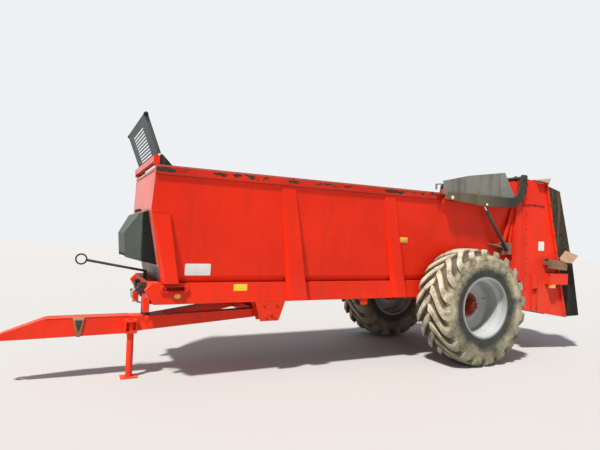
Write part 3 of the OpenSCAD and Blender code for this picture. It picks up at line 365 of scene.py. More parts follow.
# %% The recipe for a painted finish
def painted(name, colour, deep, dirt=(0.20, 0.15, 0.11), top=0.5, low=0.5, reach=1.5, streak=0.35, thin=9.0,
            chips=0.42, patches=14.0, rough=0.42, coat=0.15, rust=(0.10, 0.035, 0.015), width=0.006,
            spots=0.0, upper=None, chipped=None, sides=None, fade=None, centre=None, rim_edge=None,
            shade_below=None):
    """Paint between colour and deep by a slow noise; dirt over it by the dust and streak masks; rust where
    the edge wear group says bare, and in spots where the speck noise is above a limit. The others are for
    single pieces:
    - upper, a colour for what leans back to face up;
    - chipped, the height of the piece's top and a reach down from it: a pale line along the top, and big
      chips where noise plus the share of the way up is above a limit;
    - sides, the distance from the middle past which a sheet is much darker: painted shade on its side faces;
    - fade, an axis, where a second colour begins to give way, where it has gone, and that colour;
    - centre, a radius about the axle, and the colour inside it;
    - rim_edge, the radius about the axle past which a rim is dull;
    - shade_below, painted shade low down: the height up to which a colour covers nearly all, where it has gone,
      and that colour."""
    material, tree = new_material(name)
    wear = use(tree, edge_wear, Width=width, Amount=chips, Patches=patches)
    film = use(tree, dust, Top=top, Low=low, Reach=reach, Streak=streak, Thin=thin)
    skin = use(tree, grain, Coarse=2.2, Waves=0.5, Fine=160.0, Peel=0.10)
    base = blend_of(tree, ramp_of(tree, skin["Tint"], 0.38, 0.64), deep, colour)
    bare = wear["Bare"]
    if spots:
        limit = 0.74 - 0.16 * spots
        pits = ramp_of(tree, skin["Speck"], limit, limit + 0.04)
        bare = math_of(tree, "MAXIMUM", bare, math_of(tree, "MULTIPLY", pits, min(1.0, spots * 1.6)))
    if upper:
        base = blend_of(tree, ramp_of(tree, facing_up(tree), 0.12, 0.38, 0.0, 0.9), base, upper)
    if chipped:
        top_z, down = chipped
        height = place_on(tree, "Z")
        flakes = noise_of(tree, vector_of(tree, "MULTIPLY", where_in(tree), (4.5, 4.5, 14.0)), 1.0, 6.0, 0.68)
        more = ramp_of(tree, height, top_z - down, top_z - 0.075, 0.0, 0.20)
        fewer = ramp_of(tree, height, top_z - 0.036, top_z - 0.018, 0.0, 0.14)
        chip_value = math_of(tree, "ADD", flakes, math_of(tree, "SUBTRACT", more, fewer))
        bare = math_of(tree, "MAXIMUM", bare, ramp_of(tree, chip_value, 0.70, 0.73))
        pale_line = ramp_of(tree, height, top_z - 0.022, top_z - 0.012, 0.0, 0.75)
        base = blend_of(tree, pale_line, base, (0.58, 0.22, 0.17))
    # painted shade: past the distance sides from the middle the colour turns much darker
    if sides:
        base = blend_of(tree, ramp_of(tree, off_middle(tree), sides - 0.003, sides), base, shaded(deep, 0.25))
    if fade:
        letter, start, end, second = fade
        base = blend_of(tree, ramp_of(tree, place_on(tree, letter), start, end, 0.85, 0.0), base, second)
    if centre:
        radius, inner = centre
        disc = ramp_of(tree, axle_distance(tree), radius - 0.002, radius + 0.002, 0.9, 0.0)
        base = blend_of(tree, disc, base, inner)
    if rim_edge:
        lip = ramp_of(tree, axle_distance(tree), rim_edge - 0.004, rim_edge, 0.0, 0.8)
        base = blend_of(tree, lip, base, shaded(deep, 0.4))
    stain = [0.35 * c + 0.30 * d for c, d in zip(deep, dirt)]
    dusty = blend_of(tree, film["Dust"], blend_of(tree, film["Streaks"], base, stain), dirt)
    # painted shade: below a height the colour gives way to a second, darker one
    if shade_below:
        full, gone, second = shade_below
        dusty = blend_of(tree, ramp_of(tree, place_on(tree, "Z"), full, gone, 0.9, 0.0), dusty, second)
    worn = blend_of(tree, bare, dusty, rust)
    dull = math_of(tree, "ADD", math_of(tree, "MULTIPLY", film["Dust"], 0.35),
                   math_of(tree, "MULTIPLY", bare, 0.3))
    surface(tree, worn, math_of(tree, "ADD", rough, dull, clamp=True), skin["Height"], 0.35, 0.004,
            wear["Rounded"], Coat_Weight=coat, Coat_Roughness=0.25, Specular_IOR_Level=0.14)
    return material


red_paint = painted("red_paint", (0.89, 0.030, 0.006), (0.77, 0.023, 0.005), dirt=(0.50, 0.085, 0.040),
                    low=0.40, reach=1.8, streak=0.26, coat=0.05)
red_rail = painted("red_rail", (0.70, 0.030, 0.010), (0.50, 0.020, 0.008), dirt=(0.22, 0.15, 0.11), top=1.0,
                   low=0.0, streak=0.40, thin=16.0, chips=0.80, patches=9.0, spots=0.30, width=0.022, coat=0.05,
                   rust=(0.050, 0.030, 0.022), chipped=(2.83, 0.105))
red_frame = painted("red_frame", (0.88, 0.034, 0.008), (0.74, 0.026, 0.007), dirt=(0.46, 0.12, 0.065), top=0.8,
                    low=0.28, reach=1.3, streak=0.35, chips=0.55, coat=0.05)
red_rear = painted("red_rear", (0.86, 0.034, 0.010), (0.72, 0.026, 0.008), dirt=(0.48, 0.15, 0.09), low=0.55,
                   reach=2.2, streak=0.30, chips=0.5, coat=0.05)
# the headboard is near black below the drive cover: painted shade, standing for the shade and the dark drive
# parts there
red_head = painted("red_head", (0.80, 0.10, 0.070), (0.62, 0.055, 0.035), dirt=(0.60, 0.36, 0.30), top=0.8,
                   low=0.9, reach=4.2, streak=0.35, chips=0.5, coat=0.25, rough=0.35,
                   shade_below=(1.50, 1.60, (0.030, 0.020, 0.018)))
print("painted finishes:", [m.name for m in (red_paint, red_rail, red_frame, red_rear, red_head)])

# %% [markdown]
# ## Grey and black sheets
# The grille, the drive cover and the sheet on the left arm were sprayed grey green and have faded unevenly.
# Water leaves dark runs on them, which the streak mask gives when it is thin and strong.

# %% Grey sheets
# the grille and the drive cover are much darker on their side faces: painted shade
grille_grey = painted("grille_grey", (0.100, 0.128, 0.120), (0.058, 0.076, 0.070), dirt=(0.19, 0.20, 0.17),
                      top=0.6, low=0.0, streak=0.7, thin=13.0, chips=0.45, rust=(0.07, 0.05, 0.04), rough=0.55,
                      coat=0.0, sides=0.852)
cover_grey = painted("cover_grey", (0.074, 0.084, 0.068), (0.048, 0.056, 0.047), dirt=(0.20, 0.20, 0.165),
                     top=0.8, low=0.2, streak=0.6, thin=11.0, chips=0.4, rust=(0.05, 0.045, 0.04), rough=0.5,
                     coat=0.0, sides=0.612)
sheet_grey = painted("sheet_grey", (0.29, 0.29, 0.250), (0.20, 0.195, 0.170), dirt=(0.12, 0.095, 0.07), top=0.7,
                     low=0.0, streak=1.0, thin=6.0, chips=0.6, rust=(0.095, 0.075, 0.058), rough=0.6, coat=0.0,
                     spots=0.85)
arm_black = painted("arm_black", (0.075, 0.072, 0.058), (0.040, 0.039, 0.033), dirt=(0.20, 0.16, 0.11), top=0.8,
                    low=0.1, streak=0.9, thin=8.0, chips=0.6, rust=(0.13, 0.075, 0.045), rough=0.6, coat=0.0,
                    spots=0.35, fade=("X", 2.3, 3.1, (0.175, 0.138, 0.085)))
tan_sheet = painted("tan_sheet", (0.30, 0.165, 0.100), (0.14, 0.062, 0.036), dirt=(0.36, 0.24, 0.16), top=0.9,
                    low=0.0, streak=0.6, thin=14.0, chips=0.5, rust=(0.09, 0.045, 0.028), rough=0.7, coat=0.0,
                    spots=0.55, upper=(0.43, 0.26, 0.17))
pale_sheet = painted("pale_sheet", (0.62, 0.43, 0.32), (0.46, 0.29, 0.20), dirt=(0.26, 0.17, 0.11), top=0.3,
                     low=0.0, streak=0.5, thin=14.0, chips=0.4, rust=(0.14, 0.07, 0.04), rough=0.7, coat=0.0)
sheets = (grille_grey, cover_grey, sheet_grey, arm_black, tan_sheet, pale_sheet)
print("sheet finishes:", [m.name for m in sheets])

# %% [markdown]
# ## Steel that nobody paints
# The floor is scoured bright by every load and rusts again in between, brackets go brown all over, and the
# cylinder's rod is hard chrome. Rust is two noises: one for the colour and one for the pits.


# %% The recipe for bare steel
def bare_steel(name, bright, rust, cover, metal=0.7, rough=0.5, fine=60.0):
    """Steel between bright and rust by a noise, with the limit set by cover; metal only where it is bright."""
    material, tree = new_material(name)
    skin = use(tree, grain, Coarse=9.0, Waves=0.5, Fine=fine, Peel=0.6)
    film = use(tree, dust, Top=0.5, Low=0.2, Reach=1.2, Streak=0.4, Thin=10.0)
    mask = ramp_of(tree, skin["Speck"], 0.60 - cover * 0.4, 0.70 - cover * 0.4)
    shade = blend_of(tree, ramp_of(tree, skin["Tint"], 0.35, 0.65), rust, shaded(rust, 0.45))
    colour = blend_of(tree, mask, bright, shade)
    dusty = blend_of(tree, math_of(tree, "MULTIPLY", film["Dust"], 0.7), colour, (0.24, 0.17, 0.11))
    shine = math_of(tree, "MULTIPLY", math_of(tree, "SUBTRACT", 1.0, mask), metal, clamp=True)
    roughness = math_of(tree, "ADD", math_of(tree, "MULTIPLY", mask, 0.35), rough, clamp=True)
    surface(tree, dusty, roughness, skin["Height"], 0.5, 0.003, Metallic=shine)
    return material


floor_steel = bare_steel("floor_steel", (0.36, 0.34, 0.31), (0.20, 0.085, 0.035), 0.62, rough=0.38)
brown_steel = bare_steel("brown_steel", (0.42, 0.24, 0.165), (0.28, 0.140, 0.090), 0.75, metal=0.1, rough=0.6)
black_steel = bare_steel("black_steel", (0.055, 0.052, 0.048), (0.045, 0.032, 0.024), 0.5, metal=0.3, rough=0.5)
zinc_steel = bare_steel("zinc_steel", (0.52, 0.51, 0.48), (0.22, 0.13, 0.07), 0.25, metal=0.85, rough=0.35)
chrome_rod = bare_steel("chrome_rod", (0.75, 0.75, 0.76), (0.30, 0.27, 0.24), 0.02, metal=1.0, rough=0.12,
                        fine=300.0)
print("steel finishes ready")

# %% [markdown]
# ## Rubber
# A farm tyre that has driven over dry ground is more dust than rubber. The dust is palest on the lugs and in
# the corners, and the band next to the rim, which flexes most, shakes itself clean and stays black. That
# band is a question of distance from the axle, so the material works out that distance itself. Between the
# lugs and low down near the ground it is darker: painted shade.


# %% Tyre rubber under dust
def tyre_rubber():
    """By the distance from the axle: the sidewall's band near the rim is black; outward of it dust covers the
    rubber by two noises. Between the lugs, so below their tops and past the shoulder, it is darker: painted
    shade. The lugs' tops are rubbed pale. Low down it is darker again: painted shade."""
    material, tree = new_material("tyre_rubber")
    where, radius = where_in(tree), axle_distance(tree)
    cloud = noise_of(tree, where, 5.0, 6.0, 0.65)
    speck = noise_of(tree, where, 60.0, 4.0, 0.7)
    band = ramp_of(tree, math_of(tree, "MULTIPLY_ADD", cloud, 0.12, radius), 0.66, 0.78, 0.08, 1.0)
    mixed = math_of(tree, "ADD", math_of(tree, "MULTIPLY", cloud, 0.6), math_of(tree, "MULTIPLY", speck, 0.5))
    cover = math_of(tree, "MULTIPLY", ramp_of(tree, mixed, 0.36, 0.62), band, clamp=True)
    rise = ramp_of(tree, radius, crown_r + 0.010, tyre_r - 0.006)
    dry = blend_of(tree, cloud, (0.33, 0.285, 0.19), (0.66, 0.585, 0.40))
    pale = blend_of(tree, math_of(tree, "MULTIPLY", rise, 0.60), dry, (0.82, 0.735, 0.55))
    # painted shade: the gaps between the lugs are darker
    between = ramp_of(tree, radius, 0.80, 0.86)
    off_tyre_middle = math_of(tree, "ABSOLUTE", math_of(tree, "SUBTRACT", off_middle(tree), tyre_mid))
    on_tread = ramp_of(tree, off_tyre_middle, 0.95 * half_width, 0.78 * half_width)
    gap_shade = math_of(tree, "MULTIPLY", math_of(tree, "MULTIPLY", between, on_tread),
                     math_of(tree, "SUBTRACT", 1.0, rise, clamp=True), clamp=True)
    gaps_shaded = blend_of(tree, math_of(tree, "MULTIPLY", gap_shade, 0.86), pale, (0.085, 0.066, 0.046))
    # painted shade: darker towards the bottom of the tyre
    foot = ramp_of(tree, place_on(tree, "Z"), 0.30, 0.95, 0.50, 0.0)
    low_shaded = blend_of(tree, foot, gaps_shaded, (0.095, 0.100, 0.070))
    colour = blend_of(tree, cover, (0.026, 0.029, 0.028), low_shaded)
    skin = use(tree, grain, Coarse=14.0, Waves=0.4, Fine=130.0, Peel=0.7)
    surface(tree, colour, ramp_of(tree, cover, 0.0, 1.0, 0.62, 0.92), skin["Height"], 0.45, 0.004,
            Specular_IOR_Level=0.2)
    return material


tyre_finish = tyre_rubber()
knob_black = painted("knob_black", (0.016, 0.016, 0.017), (0.010, 0.010, 0.011), dirt=(0.09, 0.08, 0.07),
                     top=0.5, low=0.2, streak=0.2, chips=0.1, rough=0.5, coat=0.1)
buffer_rubber = painted("buffer_rubber", (0.03, 0.03, 0.03), (0.02, 0.02, 0.02), dirt=(0.16, 0.13, 0.10),
                        top=0.4, low=0.4, streak=0.2, chips=0.1, rough=0.75, coat=0.0)
print("rubber finishes ready")

# %% [markdown]
# ## Wheel silver
# The rims are sprayed aluminium grey, clean inside the dish and dusty on the flange. The hub is red again,
# and so is the middle of the rim's disc, where the nuts sit.

# %% Rim and hub
rim_silver = painted("rim_silver", (0.50, 0.52, 0.51), (0.36, 0.38, 0.37), dirt=(0.32, 0.31, 0.26), top=0.25,
                     low=0.5, reach=1.0, streak=0.25, thin=8.0, chips=0.35, rough=0.33, coat=0.1,
                     rust=(0.16, 0.13, 0.11), rim_edge=0.486, centre=(0.207, (0.32, 0.022, 0.010)))
hub_red = painted("hub_red", (0.34, 0.022, 0.010), (0.20, 0.014, 0.008), dirt=(0.16, 0.085, 0.05), top=0.6,
                  low=0.35, reach=1.4, streak=0.4, chips=0.6, rough=0.5, coat=0.0)
print("wheel finishes ready")

# %% [markdown]
# ## Flap and lamp finishes
# The flap behind the side plate is steel above and rubber below: the same object, so the finish changes at
# a height. Lamps are clear plastic over a colour. The lamps under the box are amber and the ones in its end
# are red, and the finish tells them apart by their height too.


# %% A finish that changes at a height
def flap_steel_and_rubber(limit=1.785):
    """Brown dirty steel above the limit and black rubber below it, each with streaks."""
    material, tree = new_material("flap_two")
    film = use(tree, dust, Top=0.6, Low=0.7, Reach=2.6, Streak=1.2, Thin=9.0)
    wear = use(tree, edge_wear, Width=0.006, Amount=0.5, Patches=12.0)
    skin = use(tree, grain, Coarse=5.0, Waves=0.8, Fine=90.0, Peel=0.6)
    above = ramp_of(tree, place_on(tree, "Z"), limit - 0.02, limit + 0.02)
    spotted, slow = ramp_of(tree, skin["Speck"], 0.42, 0.62), ramp_of(tree, skin["Tint"], 0.4, 0.6)
    steel = blend_of(tree, spotted, (0.062, 0.046, 0.027), (0.020, 0.016, 0.012))
    rubber = blend_of(tree, slow, (0.014, 0.017, 0.014), (0.007, 0.009, 0.007))
    base = blend_of(tree, above, rubber, steel)
    stain = blend_of(tree, above, (0.026, 0.024, 0.018), (0.130, 0.100, 0.072))
    runs = blend_of(tree, film["Streaks"], base, stain)
    dusty = blend_of(tree, math_of(tree, "MULTIPLY", film["Dust"], 0.15), runs, (0.09, 0.07, 0.05))
    surface(tree, dusty, ramp_of(tree, skin["Speck"], 0.3, 0.7, 0.6, 0.85), skin["Height"], 0.5, 0.004,
            wear["Rounded"], Specular_IOR_Level=0.15)
    return material


def lamp_lens():
    """Amber below 1.275 m, red above it, with moulded ribs as a bump."""
    material, tree = new_material("lamp_lens")
    colour = blend_of(tree, ramp_of(tree, place_on(tree, "Z"), 1.2735, 1.2760), (0.95, 0.36, 0.03),
                      (0.62, 0.02, 0.015))
    film = use(tree, dust, Top=0.6, Low=0.5, Reach=1.6, Streak=0.3, Thin=14.0)
    dusty = blend_of(tree, math_of(tree, "MULTIPLY", film["Dust"], 0.6), colour, (0.40, 0.28, 0.20))
    ribs = add(tree, "ShaderNodeTexWave", {"Vector": where_in(tree), "Scale": 45.0}, bands_direction="Z")
    surface(tree, dusty, 0.22, ribs.outputs[1], 0.3, 0.002, Coat_Weight=0.6)
    return material


flap_finish = flap_steel_and_rubber()
lens_finish = lamp_lens()
print("flap and lamp finishes ready")

# %% [markdown]
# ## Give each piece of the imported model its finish
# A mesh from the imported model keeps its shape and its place. Only its material slots change.

# %% Assign the finishes
finishes = {
    red_paint: ["left_wall", "right_wall", "left_posts", "right_posts", "door"],
    red_head: ["headboard"],
    red_rail: ["left_rail", "right_rail"],
    red_frame: ["left_beam", "right_beam", "crossmembers", "drawbar", "hinge_brackets", "jack_guide",
                "jack_leg", "axle_beam", "beater_beams", "arm_mounts"],
    red_rear: ["end_plates", "rear_frame", "side_plates", "lamp_boxes", "left_beater", "right_beater",
               "left_spiral", "right_spiral"],
    grille_grey: ["guard_grille"],
    cover_grey: ["drive_cover"],
    sheet_grey: ["arm_sheets"],
    arm_black: ["lift_arms", "door_links", "barrels"],
    tan_sheet: ["lamp_boards"],
    floor_steel: ["floor", "moving_floor", "floor_shafts"],
    brown_steel: ["cylinder_feet"],
    black_steel: ["driveline", "front_bearing", "valve_block", "hose_holder", "tow_eye"],
    chrome_rod: ["rods"],
    buffer_rubber: ["drawbar_buffers"],
    tyre_finish: ["left_tyre", "right_tyre"],
    rim_silver: ["left_rim", "right_rim"],
    hub_red: ["left_hub", "right_hub"],
    flap_finish: ["rear_flaps"],
    lens_finish: ["lamps"],
}
for material, names in finishes.items():
    for name in names:
        slots = nodes[name].data.materials
        slots.clear()
        slots.append(material)
bare = sorted(set(nodes) - {name for names in finishes.values() for name in names})
print("nodes with a finish:", sum(len(n) for n in finishes.values()), "without:", bare)

# %% [markdown]
# ## Small tools for shapes
# A new piece is a surface: a grid of points worked out with whole arrays, and the quads between them. Three
# ways to get the grid are enough here. A profile turned about an axis makes nuts and tyres, a profile
# carried along a path makes pipes and welds, and a small shape stamped at many places makes rows of bolts.


# %% From arrays to a mesh
def quads_of(rows, columns, wrap_rows=False, wrap_columns=True):
    """The quads of a grid of rows x columns points, with the point of row i and column j at number
    i * columns + j. A wrapped direction joins its end to its start."""
    i = np.arange(rows if wrap_rows else rows - 1)[:, None]
    j = np.arange(columns if wrap_columns else columns - 1)[None, :]
    i1, j1 = (i + 1) % rows, (j + 1) % columns
    corners = [i * columns + j, i * columns + j1, i1 * columns + j1, i1 * columns + j]
    return np.stack([c + 0 * i + 0 * j for c in corners], axis=-1).reshape(-1, 4)


def copies_of(quads, copies, points):
    """The quads of several copies of a shape whose points follow each other: points added per copy."""
    return (quads[None] + (np.arange(copies) * points)[:, None, None]).reshape(-1, 4)


def piece(name, points, quads, material, body, slot, smooth=True):
    """An object at the origin made from points and quads. Quads with a repeated corner become triangles.
    Its faces are turned to point outwards, and it rides on the body."""
    mesh = bpy.data.meshes.new(name)
    mesh.from_pydata(np.asarray(points, float).reshape(-1, 3).tolist(), [], np.asarray(quads).tolist())
    mesh.validate()
    mesh.update()
    turn_outwards(mesh)
    made = bpy.data.objects.new(name, mesh)
    bpy.context.scene.collection.objects.link(made)
    mesh.materials.append(material)
    if smooth:
        mesh.polygons.foreach_set("use_smooth", np.ones(len(mesh.polygons), bool))
        mesh.set_sharp_from_angle(angle=math.radians(38))
    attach(made, body)
    print(f"{name}: {len(mesh.vertices)} points, {len(mesh.polygons)} faces, on {body}")
    return made


def turn_outwards(mesh):
    """Merges doubled points and points every face away from the inside."""
    work = bmesh.new()
    work.from_mesh(mesh)
    bmesh.ops.remove_doubles(work, verts=work.verts, dist=1e-6)
    bmesh.ops.recalc_face_normals(work, faces=work.faces)
    work.to_mesh(mesh)
    work.free()


# %% A profile turned about an axis
def turned(profile, steps, sides=0):
    """Points of a profile (r, z) turned about z: r cos a, r sin a, z. With sides, r also shrinks by
    cos(half side) / cos(angle from the nearest flat's middle), which makes a hexagon of a circle.
    The profile's first and last points lie on the axis, which closes the shape."""
    profile = np.asarray(profile, float)
    a = np.arange(steps) * 2 * math.pi / steps
    shrink = np.ones(steps)
    if sides:
        half = math.pi / sides
        shrink = math.cos(half) / np.cos((a + half) % (2 * half) - half)
    r = profile[:, 0, None] * shrink[None, :]
    points = np.stack([r * np.cos(a), r * np.sin(a), np.repeat(profile[:, 1, None], steps, 1)], axis=-1)
    return points.reshape(-1, 3), quads_of(len(profile), steps)


# %% One small shape at many places
def stamped(points, quads, places, axes):
    """Copies of a shape, each turned so that its z lies along its own axis and moved to its place. The
    turn's columns are two directions square to the axis and the axis itself."""
    places = np.atleast_2d(np.asarray(places, float))
    axes = np.broadcast_to(np.asarray(axes, float), places.shape)
    axes = axes / np.linalg.norm(axes, axis=1, keepdims=True)
    helper = np.where(np.abs(axes[:, 2:3]) > 0.9, [[1.0, 0.0, 0.0]], [[0.0, 0.0, 1.0]])
    u = np.cross(helper, axes)
    u /= np.linalg.norm(u, axis=1, keepdims=True)
    frames = np.stack([u, np.cross(axes, u), axes], axis=-1)
    moved = np.einsum("kij,nj->kni", frames, points) + places[:, None, :]
    return moved.reshape(-1, 3), copies_of(quads, len(places), len(points))


# %% A profile carried along a path
def carried(path, profile, up, scale):
    """Points of a closed profile (a, b) carried along a path: path + a * side + b * over, where side is
    square to the path and to up, and over is square to both. Scale is the profile's size at each step."""
    along = np.gradient(path, axis=0)
    along /= np.linalg.norm(along, axis=1, keepdims=True)
    side = np.cross(along, np.asarray(up, float))
    side /= np.linalg.norm(side, axis=1, keepdims=True)
    over = np.cross(side, along)
    spread = profile[None, :, :] * scale[:, None, None]
    points = path[:, None, :] + spread[..., :1] * side[:, None, :] + spread[..., 1:] * over[:, None, :]
    return points.reshape(-1, 3), quads_of(len(path), len(profile))


def circle(radius, steps):
    """A round profile: radius times cos a and sin a."""
    a = np.arange(steps) * 2 * math.pi / steps
    return np.stack([radius * np.cos(a), radius * np.sin(a)], axis=-1)


def together(parts):
    """Several shapes as one: points one after the other, and quads counted on."""
    counts = np.cumsum([0] + [len(p) for p, _ in parts])
    return np.concatenate([p for p, _ in parts]), np.concatenate([q + c for (_, q), c in zip(parts, counts)])


print("shape tools ready")

# %% [markdown]
# ## Nuts and bolts
# A machine like this is held by a few hundred hexagon bolts. One bolt head on its washer is a turned profile
# with six sides, and every row of bolts is one mesh. The head's size is given by the thread: a head is about
# 1.5 times as wide across its flats as the thread is thick.


# %% The bolt
def corner_of(thread):
    """Distance of a head's corner from its middle: half the width across the flats, over cos 30 degrees."""
    return thread * 1.5 / 2 / math.cos(math.pi / 6)


def bolt(thread):
    """Washer, hexagon head with a chamfer and a stub of the thread, standing on z = 0."""
    w, t = corner_of(thread), thread
    washer = turned([(0, 0), (w * 1.3, 0), (w * 1.3, t * 0.14), (w * 1.2, t * 0.18), (0, t * 0.18)], 18)
    head = turned([(0, t * 0.1), (w, t * 0.1), (w, t * 0.72), (w * 0.88, t * 0.84), (0, t * 0.84)], 18, 6)
    stub = turned([(0, t * 0.5), (t * 0.42, t * 0.5), (t * 0.42, t * 1.1), (t * 0.34, t * 1.2),
                   (0, t * 1.2)], 12)
    return together([washer, head, stub])


def bolts(name, thread, places, axes, material, body):
    """A row of bolts as one piece, with places counted from the axle."""
    return piece(name, *stamped(*bolt(thread), spot(places), axes), material, body, "black_metal")


print("bolt points:", len(bolt(0.012)[0]))


# %% [markdown]
# ### Wheel nuts and hub bolts
# Ten nuts hold each rim to its hub on a circle 286 mm across. The hub's cap has six small bolts of its own.

# %% Nuts on both wheels
def around_axle(radius, y, count, start=0.0):
    """Places on a circle about the axle: radius times cos a and sin a, at one y."""
    a = np.arange(count) * math.tau / count + start
    return np.stack([radius * np.cos(a), np.full(count, y), axle_z + radius * np.sin(a)], axis=-1)


disc_y = 1.100
for side, word in both_sides:
    nuts = around_axle(0.143, side * (disc_y + 0.027), 10, 0.3)
    bolts(f"{word}_wheel_nuts", 0.021, nuts, (0, side, 0), brown_steel, f"{word}_wheel")
    cap_bolts = around_axle(0.062, side * (disc_y + 0.1495), 6)
    bolts(f"{word}_wheel_cap_bolts", 0.010, cap_bolts, (0, side, 0), zinc_steel, f"{word}_wheel")

# %% [markdown]
# ## Tyres
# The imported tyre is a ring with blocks. The real one is a smooth bag of rubber: its cross section is one
# curve from bead to bead, and the lugs are long curved bars that lean against each other like arrow heads,
# wider at the foot and rounded where they run down the shoulder. The carcass is that curve turned about the
# axle. Each lug is a small grid: along it run the steps from the middle to the shoulder, and across it a
# profile with sloped flanks.

# %% The carcass
bead_r, widest = 0.4835, 0.55


def carcass_curve(share):
    """Radius and half width at a share of the way from bead (0) to crown (1). Up to the widest share the half
    width is w * (0.85 + 0.118 * a quarter of a sine) and the radius grows evenly. Past it the half width is
    that times 1 - fold to the power 2.6, and the radius follows a quarter of a sine over the shoulder."""
    side = half_width * (0.85 + 0.118 * np.sin(np.clip(share / widest, 0, 1) * math.pi / 2))
    fold = np.clip((share - widest) / (1 - widest), 0, 1)
    climb = np.where(share < widest, share / widest * 0.72, 0.72 + 0.28 * np.sin(fold * math.pi / 2) ** 0.8)
    return bead_r + (crown_r - bead_r) * climb, side * (1 - fold ** 2.6)


def about_axle(r, angle, y):
    """Points about the axle: r sin a along the machine, y across it, and r cos a up."""
    r, angle, y = np.broadcast_arrays(r, angle, y)
    return np.stack([axle_x + r * np.sin(angle), y, axle_z + r * np.cos(angle)], axis=-1).reshape(-1, 3)


def carcass(side, steps=128):
    """The curve from bead to bead, with two thin ribs on each side wall, turned about the axle."""
    share = np.linspace(0, 1, 30)
    r, y = carcass_curve(share)
    rib = 0.0036 * (np.exp(-((r - 0.56) / 0.006) ** 2) + np.exp(-((r - 0.80) / 0.008) ** 2))
    y = y + np.where(share < 0.6, rib, 0)
    r, y = np.concatenate([r, r[-2::-1]]), np.concatenate([y, -y[-2::-1]])
    points = about_axle(r[:, None], np.arange(steps) * math.tau / steps, side * tyre_mid + y[:, None])
    return points, quads_of(len(r), steps, wrap_rows=True)


print("carcass points:", len(carcass(-1)[0]))

# %% The lugs
lug_count, lug_width = 20, 0.138
lug_steps = np.array([-0.03, 0.05, 0.18, 0.32, 0.46, 0.60, 0.72, 0.83, 0.92, 0.985])
lug_turn = -np.array([0.0, 0.07, 0.21, 0.39, 0.62, 0.86, 1.05, 1.20, 1.31, 1.38])
lug_rise = np.array([1.0, 1.0, 1.0, 1.0, 1.0, 0.99, 0.97, 0.93, 0.84, 0.62])
lug_flank = np.array([[-0.56, -0.25], [-0.45, 0.55], [-0.40, 0.94], [-0.36, 1.0], [0.36, 1.0], [0.40, 0.94],
                      [0.45, 0.55], [0.56, -0.25]])


def lugs(side, hand):
    """The lugs of one half of the tread. A point lies at radius carcass + rise * height * profile, at an
    angle that falls back from the middle to the shoulder, and at y = step * half width."""
    apart = math.tau / lug_count
    start = np.arange(lug_count) * apart + (apart / 2 if hand > 0 else 0)
    share = np.abs(lug_steps)
    skin = crown_r - (crown_r - bead_r) * 0.20 * np.clip((share - 0.3) / 0.685, 0, 1) ** 2.4
    tall = (tyre_r - 0.0005 - 0.010 * share ** 4) - skin
    width = lug_width / crown_r * (1 + 0.12 * share)
    r = skin[:, None] + lug_flank[None, :, 1] * (tall * lug_rise)[:, None]
    spread = lug_flank[None, :, 0] * width[:, None]
    angle = start[:, None, None] + (lug_turn * apart)[None, :, None] + spread[None]
    y = side * tyre_mid + hand * lug_steps * half_width
    count = len(lug_steps) * len(lug_flank)
    lid = np.array([[0, 1, 6, 7], [1, 2, 5, 6], [2, 3, 4, 5]])
    one = np.concatenate([quads_of(len(lug_steps), len(lug_flank)), lid, lid[:, ::-1] + count - len(lug_flank)])
    return about_axle(r[None], angle, y[None, :, None]), copies_of(one, lug_count, count)


for side, word in both_sides:
    shape = together([carcass(side), lugs(side, 1), lugs(side, -1)])
    tyre = piece(f"{word}_tyre_lugged", *shape, tyre_finish, f"{word}_wheel", "tyre")
    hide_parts(f"{word}_tyre")

# %% [markdown]
# ## Blank plates, stickers and reflectors
# The real machine carries a type plate, two stickers and amber reflectors. The plates stay blank here. Each
# is a thin slab: an outline with round corners, a little smaller on top than at the foot, so that its edge
# catches the light. `slab` needs the place of its middle and two directions, along its width and its height.


# %% An outline with round corners and a thin slab
def rounded(width, height, radius, steps=4):
    """Outline of a rectangle with round corners: corner centre plus radius times cos a and sin a."""
    a = (np.arange(4 * steps) + 0.5) * math.tau / (4 * steps)
    return np.stack([np.sign(np.cos(a)) * (width / 2 - radius) + radius * np.cos(a),
                     np.sign(np.sin(a)) * (height / 2 - radius) + radius * np.sin(a)], axis=-1)


def slab(outline, thick, centre, across, up, bevel=0.04):
    """Rings from the top's middle over the bevelled edge to the foot's middle: centre + a * across +
    b * up + lift * (across x up)."""
    across, up = np.asarray(across, float), np.asarray(up, float)
    out = np.cross(across, up)
    grow = np.array([0.0, 1 - bevel, 1.0, 1.0, 0.0])
    lift = np.array([1.0, 1.0, 0.7, 0.0, 0.0]) * thick
    flat = grow[:, None, None] * np.asarray(outline)[None]
    points = (np.asarray(centre, float) + flat[..., :1] * across + flat[..., 1:] * up
              + lift[:, None, None] * out)
    return points.reshape(-1, 3), quads_of(len(grow), len(outline))


def side_slab(outline, thick, x, y, z, side, bevel=0.04):
    """A slab that faces out of the machine's side, x behind the axle and y from the middle."""
    return slab(outline, thick, spot([x, side * y, z]), (-side, 0, 0), (0, 0, 1), bevel)


print("slab points:", len(side_slab(rounded(0.1, 0.1, 0.01), 0.002, 0, 0, 0, 1)[0]))


# %% Plain finishes for plates, stickers and reflectors
def plate_finish(name, colour, dirt, rough, coat=0.0, cover=0.5):
    """A plain colour, soiled up to the share cover by the streak mask and by spots of a noise."""
    material, tree = new_material(name)
    film = use(tree, dust, Top=0.6, Low=0.4, Reach=3.2, Streak=0.7, Thin=22.0)
    skin = use(tree, grain, Coarse=20.0, Waves=0.3, Fine=240.0, Peel=0.2)
    soiled = blend_of(tree, math_of(tree, "MULTIPLY", film["Streaks"], cover), colour, dirt)
    spotted = blend_of(tree, ramp_of(tree, skin["Speck"], 0.60, 0.78, 0.0, cover), soiled, dirt)
    surface(tree, spotted, ramp_of(tree, film["Dust"], 0.0, 1.0, rough, rough + 0.3), skin["Height"],
            0.15, 0.001, Coat_Weight=coat)
    return material


